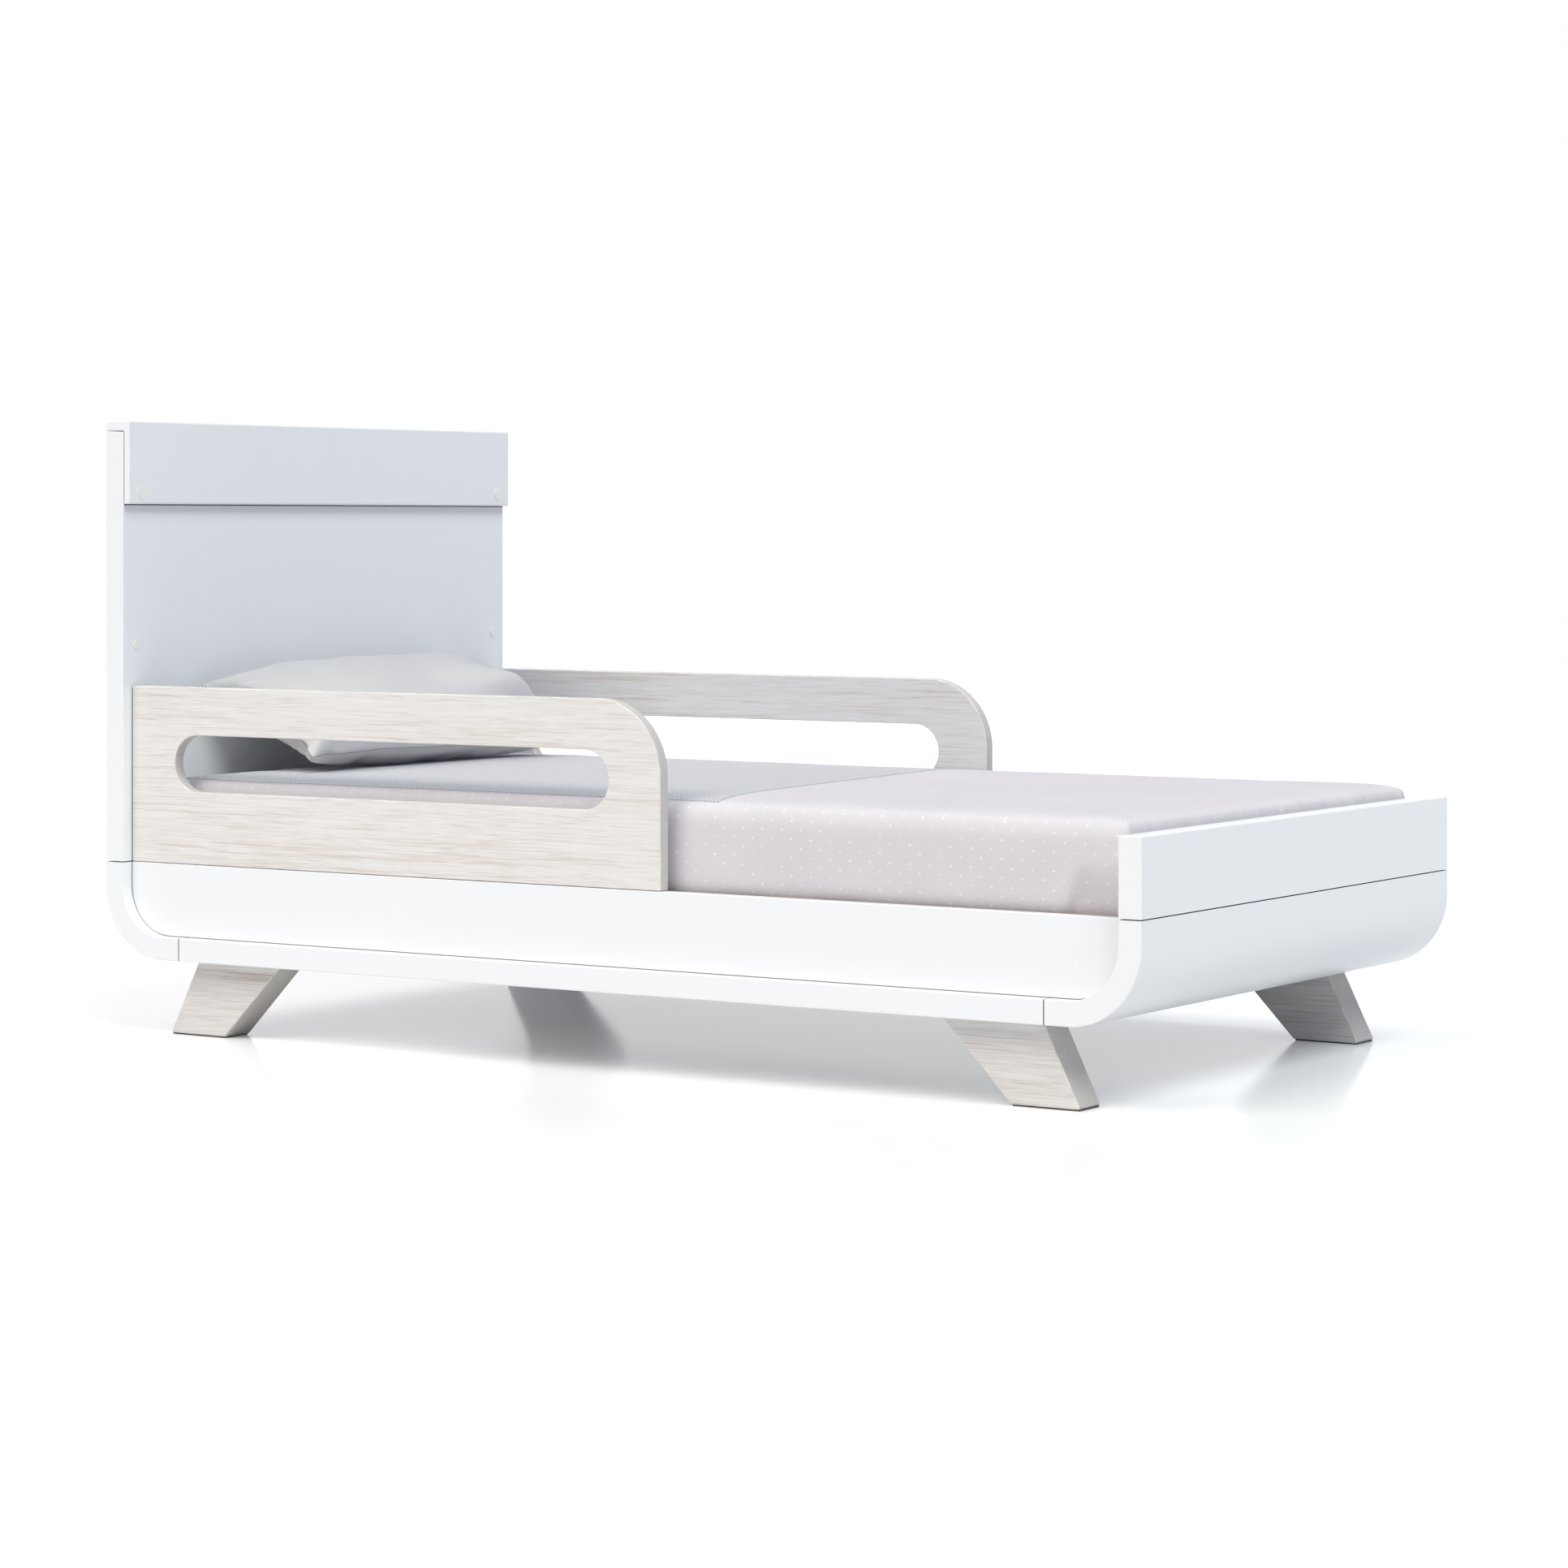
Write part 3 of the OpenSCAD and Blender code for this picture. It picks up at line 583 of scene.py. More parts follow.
def mouldedFinish(name, colour, roughness):
    material, tree, place = newFinish(name, {"Specular IOR Level": 0.5})
    skin = useGroup(tree, lacquerSkin, {"Vector": place, "Peel Scale": 900.0, "Haze Scale": 60.0})
    dress(tree, mixColours(tree, skin["Haze"], colour, tuple(c * 0.94 for c in colour)),
          spread(tree, skin["Haze"], *roughness), skin["Height"], 0.00003)
    return material


def feltFinish(name):
    material, tree, place = newFinish(name, {"Roughness": 0.95, "Sheen Weight": 0.3})
    hairs = noiseOver(tree, place, 900.0, 4.0, 0.7)
    dress(tree, mixColours(tree, hairs, (0.022, 0.021, 0.022), (0.09, 0.085, 0.085)), None, hairs, 0.0004)
    return material


# painted shade for the dark lines at joints and gaps
gapShadeLook = {"fibre": (0.045, 0.048, 0.055), "pale": (0.075, 0.08, 0.09), "roughness": (0.85, 0.95)}


def gapShadeFinish(name, look):
    # near-black faces hidden in joints, gaps and under the cap's lip: painted shade that darkens those hairlines
    material, tree, place = newFinish(name, {"Specular IOR Level": 0.1})
    fibres = noiseOver(tree, place, 700.0, 4.0, 0.7)
    dress(tree, mixColours(tree, fibres, look["fibre"], look["pale"]), spread(tree, fibres, *look["roughness"]),
          fibres, 0.0002)
    return material


mattressLook = {
    "mauve": (0.678, 0.643, 0.672), "mauveDeep": (0.640, 0.607, 0.638), "cross": (0.90, 0.89, 0.90),
    "panel": (0.532, 0.528, 0.556), "panelRib": (0.587, 0.582, 0.606), "ribPitch": 0.0062,
    "panelEdge": (0.148, -0.0715),     # where the panel ends at the right side, and how far that shifts across
    "panelInset": 0.022, "roughness": 0.82, "ribHeight": 0.0004, "weaveHeight": 0.00012, "crossHeight": 0.0002,
    "thread": (0.80, 0.78, 0.80), "panelSlub": (0.62, 0.64, 0.68), "seamHalf": 0.0022, "seamDepth": 0.0012,
    "ovals": ((-0.514, 0.097), (-0.220, 0.181)), "ovalSize": (0.046, 0.033),    # quilted ovals on the panel
}


def mattressFinish(name, look, sideY, headX):
    material, tree, place = newFinish(name, {"Roughness": look["roughness"], "Sheen Weight": 0.25,
                                             "Sheen Roughness": 0.5, "Specular IOR Level": 0.25})
    lay = put(tree, "ShaderNodeUVMap", uv_map="cover").outputs["UV"]
    weave = useGroup(tree, plainWeave, {"Vector": lay, "Thread Pitch": 0.0009})
    crosses = useGroup(tree, crossGrid, {"Vector": lay})
    uneven, cloudy = noiseOver(tree, lay, 34.0, 1.0), noiseOver(tree, place, 9.0, 3.0)
    dotted = mixColours(tree, spread(tree, cloudy, 0.0, 1.0, 0.3, 0.7), look["mauve"], look["mauveDeep"])
    dotted = mixColours(tree, times(tree, weave["Thread"], 0.16), dotted, look["thread"])
    printed = times(tree, crosses["Mask"], spread(tree, uneven, 0.25, 0.85, 0.35, 0.6))
    dotted = mixColours(tree, printed, dotted, look["cross"])
    spot = put(tree, "ShaderNodeSeparateXYZ", {0: place}).outputs
    laid = put(tree, "ShaderNodeSeparateXYZ", {0: lay}).outputs
    # ribs of the head panel: narrow zigzag rows
    zig = calc(tree, "PINGPONG", laid["Y"], 0.018)
    along = plus(tree, laid["X"], times(tree, zig, 0.8))
    rib = calc(tree, "SINE", times(tree, along, 2 * math.pi / look["ribPitch"]))
    ribHigh = calc(tree, "MULTIPLY_ADD", rib, 0.5, 0.5)
    ribbed = mixColours(tree, ribHigh, look["panel"], look["panelRib"])
    ribbed = mixColours(tree, times(tree, weave["Slub"], 0.2), ribbed, look["panelSlub"])
    # the panel lies on top, ends straight across the bed and stops short of the sides
    edgeStart, edgeShift = look["panelEdge"]
    slope = edgeShift / (2 * sideY)
    edgeX = calc(tree, "MULTIPLY_ADD", spot["Y"], slope, edgeStart + slope * sideY)
    fromEdge = minus(tree, edgeX, spot["X"])
    fromSide = minus(tree, sideY - look["panelInset"], calc(tree, "ABSOLUTE", spot["Y"]))
    fromHead = minus(tree, spot["X"], headX + look["panelInset"])
    nearest = calc(tree, "MINIMUM", calc(tree, "MINIMUM", fromEdge, fromSide), fromHead)
    normal = put(tree, "ShaderNodeNewGeometry").outputs["Normal"]
    onTop = calc(tree, "GREATER_THAN", put(tree, "ShaderNodeSeparateXYZ", {0: normal}).outputs["Z"], 0.2)
    inPanel = times(tree, spread(tree, nearest, 0.0, 1.0, -0.0006, 0.0006), onTop)

    def groove(distance):
        # 1 on a sewn line, down to 0 at the line's half width
        faded = spread(tree, distance, 0.0, 1.0, 0.0, look["seamHalf"])
        return times(tree, minus(tree, 1.0, faded), onTop)

    seam = groove(calc(tree, "ABSOLUTE", nearest))
    for centreX, centreY in look["ovals"]:
        offX = calc(tree, "DIVIDE", minus(tree, spot["X"], centreX), look["ovalSize"][0])
        offY = calc(tree, "DIVIDE", minus(tree, spot["Y"], centreY), look["ovalSize"][1])
        away = calc(tree, "SQRT", plus(tree, times(tree, offX, offX), times(tree, offY, offY)))
        ring = times(tree, calc(tree, "ABSOLUTE", minus(tree, away, 1.0)), look["ovalSize"][1])
        seam = calc(tree, "MAXIMUM", seam, groove(ring))
    flatCloth = times(tree, weave["Height"], look["weaveHeight"])
    ribs = times(tree, times(tree, ribHigh, inPanel), look["ribHeight"])
    raised = times(tree, crosses["Mask"], times(tree, minus(tree, 1.0, inPanel), look["crossHeight"]))
    height = plus(tree, plus(tree, flatCloth, ribs), raised)
    height = calc(tree, "MULTIPLY_ADD", seam, -look["seamDepth"], height)
    dress(tree, mixColours(tree, inPanel, dotted, ribbed), None, height)
    return material


pillowLook = {"cloth": (0.60, 0.585, 0.590), "thread": (0.67, 0.655, 0.66), "shade": (0.555, 0.545, 0.552)}


def pillowFinish(name, look):
    material, tree, place = newFinish(name, {"Roughness": 0.85, "Sheen Weight": 0.3, "Sheen Roughness": 0.45,
                                             "Specular IOR Level": 0.2})
    lay = put(tree, "ShaderNodeUVMap", uv_map="cover").outputs["UV"]
    weave = useGroup(tree, plainWeave, {"Vector": lay, "Thread Pitch": 0.0007})
    cloudy, creases = noiseOver(tree, place, 14.0, 3.0), noiseOver(tree, place, 38.0, 3.0)
    colour = mixColours(tree, spread(tree, cloudy, 0.0, 1.0, 0.3, 0.7), look["cloth"], look["shade"])
    colour = mixColours(tree, times(tree, weave["Thread"], 0.25), colour, look["thread"])
    dress(tree, colour, None, plus(tree, times(tree, weave["Height"], 0.0001), times(tree, creases, 0.0009)))
    return material


def threadFinish(name, colour):
    material, tree, place = newFinish(name, {"Roughness": 0.6, "Sheen Weight": 0.2})
    twist = noiseOver(tree, place, 1400.0, 2.0)
    dress(tree, mixColours(tree, twist, colour, tuple(c * 0.8 for c in colour)), None, twist, 0.0001)
    return material


mattressLo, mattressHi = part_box("mattress")
pillowLo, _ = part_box("pillow")

whiteLacquer = lacquerFinish("whiteLacquer", lacquerLook)
washedWood = washedWoodFinish("washedWood", washedLook, 0.0)
# darker, bluer copy of the wood for the far rail: painted shade
washedWoodShadedFar = washedWoodFinish("washedWoodShadedFar", shadedFarRailLook, 3.7)
washedLegs = washedWoodFinish("washedLegs", legLook, 8.1)
gapShadeBoard = gapShadeFinish("gapShadeBoard", gapShadeLook)
coverPlastic = mouldedFinish("coverPlastic", (0.915, 0.89, 0.85), (0.3, 0.42))
pine = rawWoodFinish("pine", (0.70, 0.52, 0.31), (0.52, 0.34, 0.17), 1.3)
pineSlats = rawWoodFinish("pineSlats", (0.72, 0.54, 0.33), (0.54, 0.36, 0.18), 4.2, "Y")
beech = rawWoodFinish("beech", (0.62, 0.42, 0.26), (0.48, 0.30, 0.17), 2.2)
steel = metalFinish("steel", (0.60, 0.60, 0.61), (0.42, 0.42, 0.43), (0.22, 0.42))
zinc = metalFinish("zinc", (0.52, 0.53, 0.55), (0.36, 0.37, 0.39), (0.35, 0.55))
brass = metalFinish("brass", (0.72, 0.53, 0.25), (0.50, 0.36, 0.16), (0.28, 0.45))
felt = feltFinish("felt")
mattressCloth = mattressFinish("mattressCloth", mattressLook, mattressHi[1], mattressLo[0])
pillowCloth = pillowFinish("pillowCloth", pillowLook)
paleThread = threadFinish("paleThread", (0.78, 0.77, 0.79))
print("finishes built")


def finishPiece(piece, material, body, slot, *nodes):
    gapShadeIndex = [polygon.material_index for polygon in piece.data.polygons]
    piece.data.materials.clear()
    piece.data.materials.append(material)
    # faces marked for painted gap shade take the near-black second material
    if any(gapShadeIndex):
        piece.data.materials.append(gapShadeBoard)
        piece.data.polygons.foreach_set("material_index", [min(1, index) for index in gapShadeIndex])
    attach(piece, body)
    if nodes:
        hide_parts(*nodes)
    return piece


# camera and light

view = {
    "place": (2.73836, -4.19772, 0.60942), "azimuth": 32.908, "lens": 97.31, "shift": -0.16714,
}
cameraData = bpy.data.cameras.new("camera")
cameraData.lens, cameraData.sensor_width, cameraData.shift_y = view["lens"], 36, view["shift"]
cameraData.clip_end = 60
camera = bpy.data.objects.new("camera", cameraData)
camera.location = view["place"]
camera.rotation_euler = (math.pi / 2, 0, math.radians(view["azimuth"]))
scene.collection.objects.link(camera)
scene.camera = camera

studio = {
    "sky": (0.58, 0.66, 1.0), "skyStrength": 0.34, "paper": 1.0,
    "floorGlow": 0.09,          # the lit paper under the bed, as seen directly
    "floorBounce": (0.76, 0.765, 0.775),     # the floor as the object's sides see it
    "suns": (               # name, shines from, strength, spread in degrees, colour
        ("keySun", (-0.4, -1.0, 1.2), 1.78, 35, (1.0, 0.93, 0.79)),
        ("footSun", (1.0, -0.5, 1.6), 1.99, 30, (0.94, 1.0, 0.93)),
        ("topSun", (0.0, 0.0, 1.0), 0.22, 30, (1.0, 0.957, 0.835)),
    ),
}
scene.view_settings.view_transform = "Standard"
world = bpy.data.worlds.new("studio")
scene.world = world
world.use_nodes = True
worldTree = world.node_tree
worldTree.nodes.clear()
backdrops = ((studio["sky"], studio["skyStrength"]), ((1.0, 1.0, 1.0), studio["paper"]))
glow, paper = [put(worldTree, "ShaderNodeBackground", {"Color": (*colour, 1.0), "Strength": strength})
               for colour, strength in backdrops]
ray = put(worldTree, "ShaderNodeLightPath")
plainRay = calc(worldTree, "MAXIMUM", ray.outputs["Is Camera Ray"], ray.outputs["Is Glossy Ray"])
choose = put(worldTree, "ShaderNodeMixShader", {0: plainRay, 1: glow.outputs[0], 2: paper.outputs[0]})
put(worldTree, "ShaderNodeOutputWorld", {"Surface": choose.outputs[0]})
for name, source, strength, spreadAngle, colour in studio["suns"]:
    lamp = bpy.data.lights.new(name, "SUN")
    lamp.energy, lamp.angle, lamp.color = strength, math.radians(spreadAngle), colour
    sun = bpy.data.objects.new(name, lamp)
    sun.rotation_euler = Vector(source).to_track_quat("Z", "Y").to_euler()
    scene.collection.objects.link(sun)

floorMesh = bpy.data.meshes.new("studioFloor")
floorHalf = 9.0
floorMesh.from_pydata([(x * floorHalf, y * floorHalf, 0) for x, y in ((-1, -1), (1, -1), (1, 1), (-1, 1))],
                      [], [(0, 1, 2, 3)])
studioFloor = newPiece("studioFloor", floorMesh)
floorFinish, floorTree, floorPlace = newFinish("floorFinish", {"Specular IOR Level": 0.16,
                                                               "Emission Color": (1.0, 1.0, 1.0, 1.0)})
floorHaze = noiseOver(floorTree, floorPlace, 3.0, 3.0)
bounced = put(floorTree, "ShaderNodeLightPath").outputs["Is Diffuse Ray"]
floorSeen = mixColours(floorTree, floorHaze, (0.985, 0.988, 0.992), (0.995, 0.997, 1.0))
dress(floorTree, mixColours(floorTree, bounced, floorSeen, studio["floorBounce"]),
      spread(floorTree, floorHaze, 0.10, 0.15))
floorTree.links.new(spread(floorTree, bounced, studio["floorGlow"], 0.0),
                    floorTree.nodes["Principled BSDF"].inputs["Emission Strength"])
floorMesh.materials.append(floorFinish)
print("studio set")


# shell

floorLo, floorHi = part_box("floor_panel")
_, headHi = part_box("headboard_panel")
footLo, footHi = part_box("footboard_panel")
bendLo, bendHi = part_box("foot_corner_bend")
capLo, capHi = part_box("headboard_cap")
jointX, legH, floorZ = floorHi[0], floorLo[2], floorHi[2]
bedX, bedY, innerX, jointZ = bendHi[0], bendHi[1], footLo[0], bendHi[2]
bendRun = 0.028             # straight length past the curve
outerR = bendHi[2] - bendLo[2] - bendRun
innerR = outerR - (bedX - innerX)
gap, corner = boards["jointGap"], boards["corner"]


def mirrored(corners):
    return [(-x, z, r) for x, z, r in reversed(corners)]


def shellBoard(name, node, outline, holes=(), span=None, arris=None):
    board = slab(name, outline, span or (-bedY, bedY), arris=arris)
    if holes:
        carve(board, holes)
    finishPiece(evenShade(board), whiteLacquer, "frame", "white_lacquer", node)


headCams, footCams = islandBoxes("head_cam_locks"), islandBoxes("foot_cam_locks")
camFloor = [box for box in headCams + footCams if box[1].z < floorZ + 0.002]
camHead = [box for box in headCams if box[1].z > jointZ]
camFoot = [box for box in footCams if box[1].z > jointZ]

bits = []
for boxes, room in ((camFloor, 0.0001), (islandBoxes("leg_washers"), 0.0005)):
    for lo, hi in boxes:
        mid, r = (lo + hi) / 2, (hi.x - lo.x) / 2 + room
        bits.append((Vector((mid.x, mid.y, lo.z)), Vector((mid.x, mid.y, floorZ + 0.004)), r, r))
for lo, hi in islandBoxes("side_panel_screws"):
    mid, r = (lo + hi) / 2, (hi.x - lo.x) / 2 + 0.0006
    bits.append((Vector((mid.x, mid.y, legH - 0.001)), Vector((mid.x, mid.y, legH + r)), r + 0.001, 0.0004))
shellBoard("floorBoard", "floor_panel", rectangle(-jointX + gap, legH, jointX - gap, floorZ, joints=(1, 3)), bits)

bendCorners = [(jointX + gap, legH, 0), (bedX, legH, outerR), (bedX, jointZ - gap, 0), (innerX, jointZ - gap, 0),
               (innerX, floorZ, innerR), (jointX + gap, floorZ, 0)]
shellBoard("footBend", "foot_corner_bend", filleted(bendCorners, joints=(2, 5)))
shellBoard("headBend", "head_corner_bend", filleted(mirrored(bendCorners), joints=(2, 5)))


def camBits(boxes, fromX, towards):
    made = []
    for lo, hi in boxes:
        mid, r = (lo + hi) / 2, (hi.z - lo.z) / 2 + 0.0001
        deep = lo.x if towards > 0 else hi.x
        made.append((Vector((deep, mid.y, mid.z)), Vector((fromX + towards * 0.004, mid.y, mid.z)), r, r))
    return made


shellBoard("headBoard", "headboard_panel", rectangle(-bedX, jointZ + gap, -innerX, headHi[2] - gap, joints=(0, 2)),
           camBits(camHead, -innerX, 1))
shellBoard("footBoard", "footboard_panel", rectangle(innerX, jointZ + gap, bedX, footHi[2], joints=(0,)),
           camBits(camFoot, innerX, -1))

capLook = {"round": 0.0028, "lip": 0.0019, "arris": 0.0018, "gap": 0.0010, "line": 0.0019, "lineProud": 0.0005}
capIn = -innerX + capLook["gap"]
lipZ, lipR = headHi[2] + capLook["gap"], capLook["lip"]
capCorners = [(-bedX, lipZ, lipR), (capIn, lipZ, lipR), (capIn, capLo[2], lipR), (capHi[0], capLo[2], capLook["round"]),
              (capHi[0], capHi[2], capLook["round"]), (-bedX, capHi[2], capLook["round"])]
# the cap's inner faces and the lip's underside take the near-black painted shade of the line under the lip
shellBoard("headboardCap", "headboard_cap", filleted(capCorners, gapShadeEdges=(0, 1, 2)), arris=capLook["arris"])

# near-black strip under the cap's lip: painted shadow line where the lip overhangs the headboard
bead = rectangle(-innerX - 0.002, capLo[2] - capLook["line"], -innerX + capLook["lineProud"], capLo[2] + 0.003)
capShadowStrip = evenShade(slab("capShadowStrip", bead, (-bedY + 0.003, bedY - 0.003), arris=0.0001))
finishPiece(capShadowStrip, gapShadeBoard, "frame", "white_lacquer")

sideInset = 0.0012          # the panel's shadow gap inside the shell's curve
sideX, sideR = innerX - sideInset, innerR - sideInset
for side in ("left", "right"):
    lo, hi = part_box("side_panel_" + side)
    corners = [(-sideX, floorZ + gap, sideR), (sideX, floorZ + gap, sideR), (sideX, jointZ - gap / 2, 0.0011),
               (-sideX, jointZ - gap / 2, 0.0011)]
    # bottom, ends and curves take the near-black painted shade of the gap round the panel
    outline = filleted(corners, gapShadeEdges=(0, 1, 3, "r0", "r1"))
    shellBoard("sidePanel" + side.title(), "side_panel_" + side, outline, span=(lo[1], hi[1]), arris=0.0009)
print("shell built")


# guard rails

rails = {"arris": 0.0010, "cornerR": 0.085, "slotL": 0.630, "slotH": 0.067, "slotUp": 0.086, "slotIn": 0.067,
         "lowCorner": 0.0012, "pinChamfer": 0.001}
pinBoxes = islandBoxes("guard_rail_pins")
for side, sign, wood in (("left", 1, washedWoodShadedFar), ("right", -1, washedWood)):
    lo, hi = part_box("guard_rail_" + side)
    low = rails["lowCorner"]
    # the bottom and head end take the near-black painted shade of the gaps at the headboard and panel
    outline = filleted([(lo[0], lo[2] + gap / 2, low), (hi[0], lo[2] + gap / 2, low),
                        (hi[0], hi[2], rails["cornerR"]), (lo[0], hi[2], low)], gapShadeEdges=(0, 3))
    sx, sz, r = lo[0] + rails["slotIn"], lo[2] + rails["slotUp"], rails["slotH"] / 2
    x1, z1 = sx + rails["slotL"], sz + rails["slotH"]
    slotLoop = filleted([(sx, z1, r), (x1, z1, r), (x1, sz, r), (sx, sz, r)])
    rail = slab("guardRail" + side.title(), outline, (lo[1], hi[1]), holes=[slotLoop], arris=rails["arris"])
    bits = []
    for pinLo, pinHi in pinBoxes:
        mid = (pinLo + pinHi) / 2
        if mid.y * sign > 0:
            r = (pinHi.x - pinLo.x) / 2 + 0.0002
            bits.append((Vector((mid.x, mid.y, lo[2] - 0.002)), Vector((mid.x, mid.y, pinHi.z + 0.001)), r, r))
    evenShade(carve(rail, bits))
    finishPiece(rail, wood, "guard_rail_" + side, "whitewashed_wood", "guard_rail_" + side)

pinPlaces = [(Vector(((lo.x + hi.x) / 2, (lo.y + hi.y) / 2, lo.z)), (0, 0, 1)) for lo, hi in pinBoxes]
pinR = (pinBoxes[0][1].x - pinBoxes[0][0].x) / 2
pinL = pinBoxes[0][1].z - pinBoxes[0][0].z
c = rails["pinChamfer"]
pins = turned("railPins", [(pinR - c, 0), (pinR, c), (pinR, pinL * 0.5), (pinR, pinL - 1.5 * c),
                           (pinR - 0.6 * c, pinL - 0.4 * c), (pinR - 1.5 * c, pinL)], pinPlaces)
finishPiece(pins, steel, "frame", "steel", "guard_rail_pins")
print("guard rails built")


# legs and glides

legs = {"round": 0.0022, "arris": 0.0016, "topL": 0.125, "footL": 0.083, "glideRound": 0.0005}
for end, ex in (("head", -1), ("foot", 1)):
    for side in ("left", "right"):
        name = f"leg_{end}_{side}"
        lo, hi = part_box(name)
        farX = max(abs(lo[0]), abs(hi[0]))
        nearX = min(abs(lo[0]), abs(hi[0]))
        r = legs["round"]
        corners = [(nearX, hi[2] - gap, 0.0008), (farX - legs["footL"], lo[2], r), (farX, lo[2], r),
                   (nearX + legs["topL"], hi[2] - gap, 0.0008)]
        if ex < 0:
            corners = mirrored(corners)
        leg = slab("leg" + end.title() + side.title(), filleted(corners), (lo[1], hi[1]), arris=legs["arris"])
        finishPiece(evenShade(leg), washedLegs, "frame", "whitewashed_wood", name)

glideParts = []
for k, (lo, hi) in enumerate(islandBoxes("leg_glides")):
    r = legs["glideRound"]
    glideParts.append(slab(f"glide{k}", rectangle(lo.x, lo.z, hi.x, hi.z, [r * 1.2] * 4), (lo.y, hi.y), arris=r))


def joined(name, parts):
    bm = bmesh.new()
    for part in parts:
        bm.from_mesh(part.data)
    mesh = bpy.data.meshes.new(name)
    bm.to_mesh(mesh)
    bm.free()
    for part in parts:
        bpy.data.objects.remove(part)
    return newPiece(name, mesh)


glides = evenShade(joined("legGlides", glideParts))
finishPiece(glides, felt, "frame", "felt", "leg_glides")
print("legs built")


# covers and plugs

coverPlaces, plugPlaces = [], []
for lo, hi in islandBoxes("cap_screw_covers"):
    coverPlaces.append((Vector((lo.x, (lo.y + hi.y) / 2, (lo.z + hi.z) / 2)), (1, 0, 0)))
    coverR, coverT = (hi.z - lo.z) / 2, hi.x - lo.x
for lo, hi in islandBoxes("headboard_plugs"):
    plugPlaces.append((Vector((-innerX, (lo.y + hi.y) / 2, (lo.z + hi.z) / 2)), (1, 0, 0)))
    plugR, plugT = (hi.z - lo.z) / 2, hi.x + innerX


def button(radius, height):
    edge = 0.45 * height
    steps = [(radius, 0.0), (radius, height - edge)]
    steps += [(radius - edge * (1 - math.cos(a)), height - edge + edge * math.sin(a)) for a in (0.5, 1.0, 1.4)]
    steps += [(radius * 0.62, height * 0.985), (radius * 0.56, height * 0.93), (radius * 0.2, height * 0.9)]
    return steps


covers = turned("screwCovers", button(coverR, coverT), coverPlaces)
finishPiece(covers, coverPlastic, "frame", "cover_plastic", "cap_screw_covers")
plugs = turned("headboardPlugs", button(plugR, plugT), plugPlaces)
finishPiece(plugs, coverPlastic, "frame", "cover_plastic", "headboard_plugs")


# Geometry Nodes: slats, screws, stitches

def grow(name, mesh, tree, values):
    # runs a node tree on a mesh and returns the result as a plain piece
    piece = newPiece(name, mesh)
    modifier = piece.modifiers.new(name, "NODES")
    modifier.node_group = tree
    for item in tree.interface.items_tree:
        if item.in_out == "INPUT" and item.name in values:
            modifier[item.identifier] = values[item.name]
    return baked(piece)


def newGrower(name, inputs):
    # a node tree that takes and gives geometry, with a material
    sockets = [("Geometry", "NodeSocketGeometry", None)]
    sockets += [(label, "NodeSocketInt" if isinstance(value, int) else "NodeSocketFloat", value)
                for label, value in inputs.items()]
    return newGroup(name, "GeometryNodeTree", sockets + [("Material", "NodeSocketMaterial", None)],
                    [("Geometry", "NodeSocketGeometry")])


def spawned(tree, given, out, points, instance, **settings):
    # an instance on every point, made real and given its material
    placed = put(tree, "GeometryNodeInstanceOnPoints", {"Points": points, "Instance": instance, **settings})
    real = put(tree, "GeometryNodeRealizeInstances", {"Geometry": placed.outputs[0]})
    done = put(tree, "GeometryNodeSetMaterial", {"Geometry": real.outputs[0], "Material": given["Material"]})
    tree.links.new(done.outputs[0], out["Geometry"])
    return tree


def shifted(tree, geometry, **settings):
    return put(tree, "GeometryNodeTransform", {"Geometry": geometry, **settings}).outputs[0]


def lessened(tree, whole, cuts):
    # the whole without the cuts
    result = put(tree, "GeometryNodeMeshBoolean", {"Mesh 1": whole}, operation="DIFFERENCE", solver="EXACT")
    for cut in cuts:
        tree.links.new(cut, result.inputs["Mesh 2"])
    return result.outputs[0]


def together(tree, parts):
    result = put(tree, "GeometryNodeJoinGeometry")
    for part in parts:
        tree.links.new(part, result.inputs[0])
    return result.outputs[0]


def slatTree():
    tree, given, out = newGrower("slatRow", {
        "Count": 11, "Pitch": 0.125, "Width": 0.07, "Thickness": 0.012, "Length": 0.69, "Edge": 0.003,
        "Screw Inset": 0.015, "Sink Radius": 0.004, "Sink Depth": 0.003})
    profile = put(tree, "GeometryNodeCurvePrimitiveQuadrilateral", {
        "Width": given["Width"], "Height": given["Thickness"]})
    eased = put(tree, "GeometryNodeFilletCurve", {"Curve": profile.outputs[0], "Radius": given["Edge"],
                                                  "Count": 4}, mode="POLY")
    half = times(tree, given["Length"], 0.5)
    run = put(tree, "GeometryNodeCurvePrimitiveLine", {
        "Start": combined(tree, Y=times(tree, half, -1.0)), "End": combined(tree, Y=half)})
    bar = put(tree, "GeometryNodeCurveToMesh", {"Curve": run.outputs[0], "Profile Curve": eased.outputs[0],
                                                "Fill Caps": True})
    sink = put(tree, "GeometryNodeMeshCone", {"Vertices": 24, "Radius Top": given["Sink Radius"],
                                              "Radius Bottom": 0.0004, "Depth": given["Sink Depth"]})
    cuts = []
    for sign in (-1.0, 1.0):
        spotY = times(tree, minus(tree, half, given["Screw Inset"]), sign)
        top = minus(tree, times(tree, given["Thickness"], 0.5), times(tree, given["Sink Depth"], 0.97))
        cuts.append(shifted(tree, sink.outputs["Mesh"], Translation=combined(tree, Y=spotY, Z=top)))
    drilled = lessened(tree, bar.outputs[0], cuts)
    first = times(tree, minus(tree, given["Count"], 1.0), times(tree, given["Pitch"], -0.5))
    row = put(tree, "GeometryNodeMeshLine", {"Count": given["Count"], "Start Location": combined(tree, X=first),
                                             "Offset": combined(tree, X=given["Pitch"])})
    return spawned(tree, given, out, row.outputs[0], drilled)


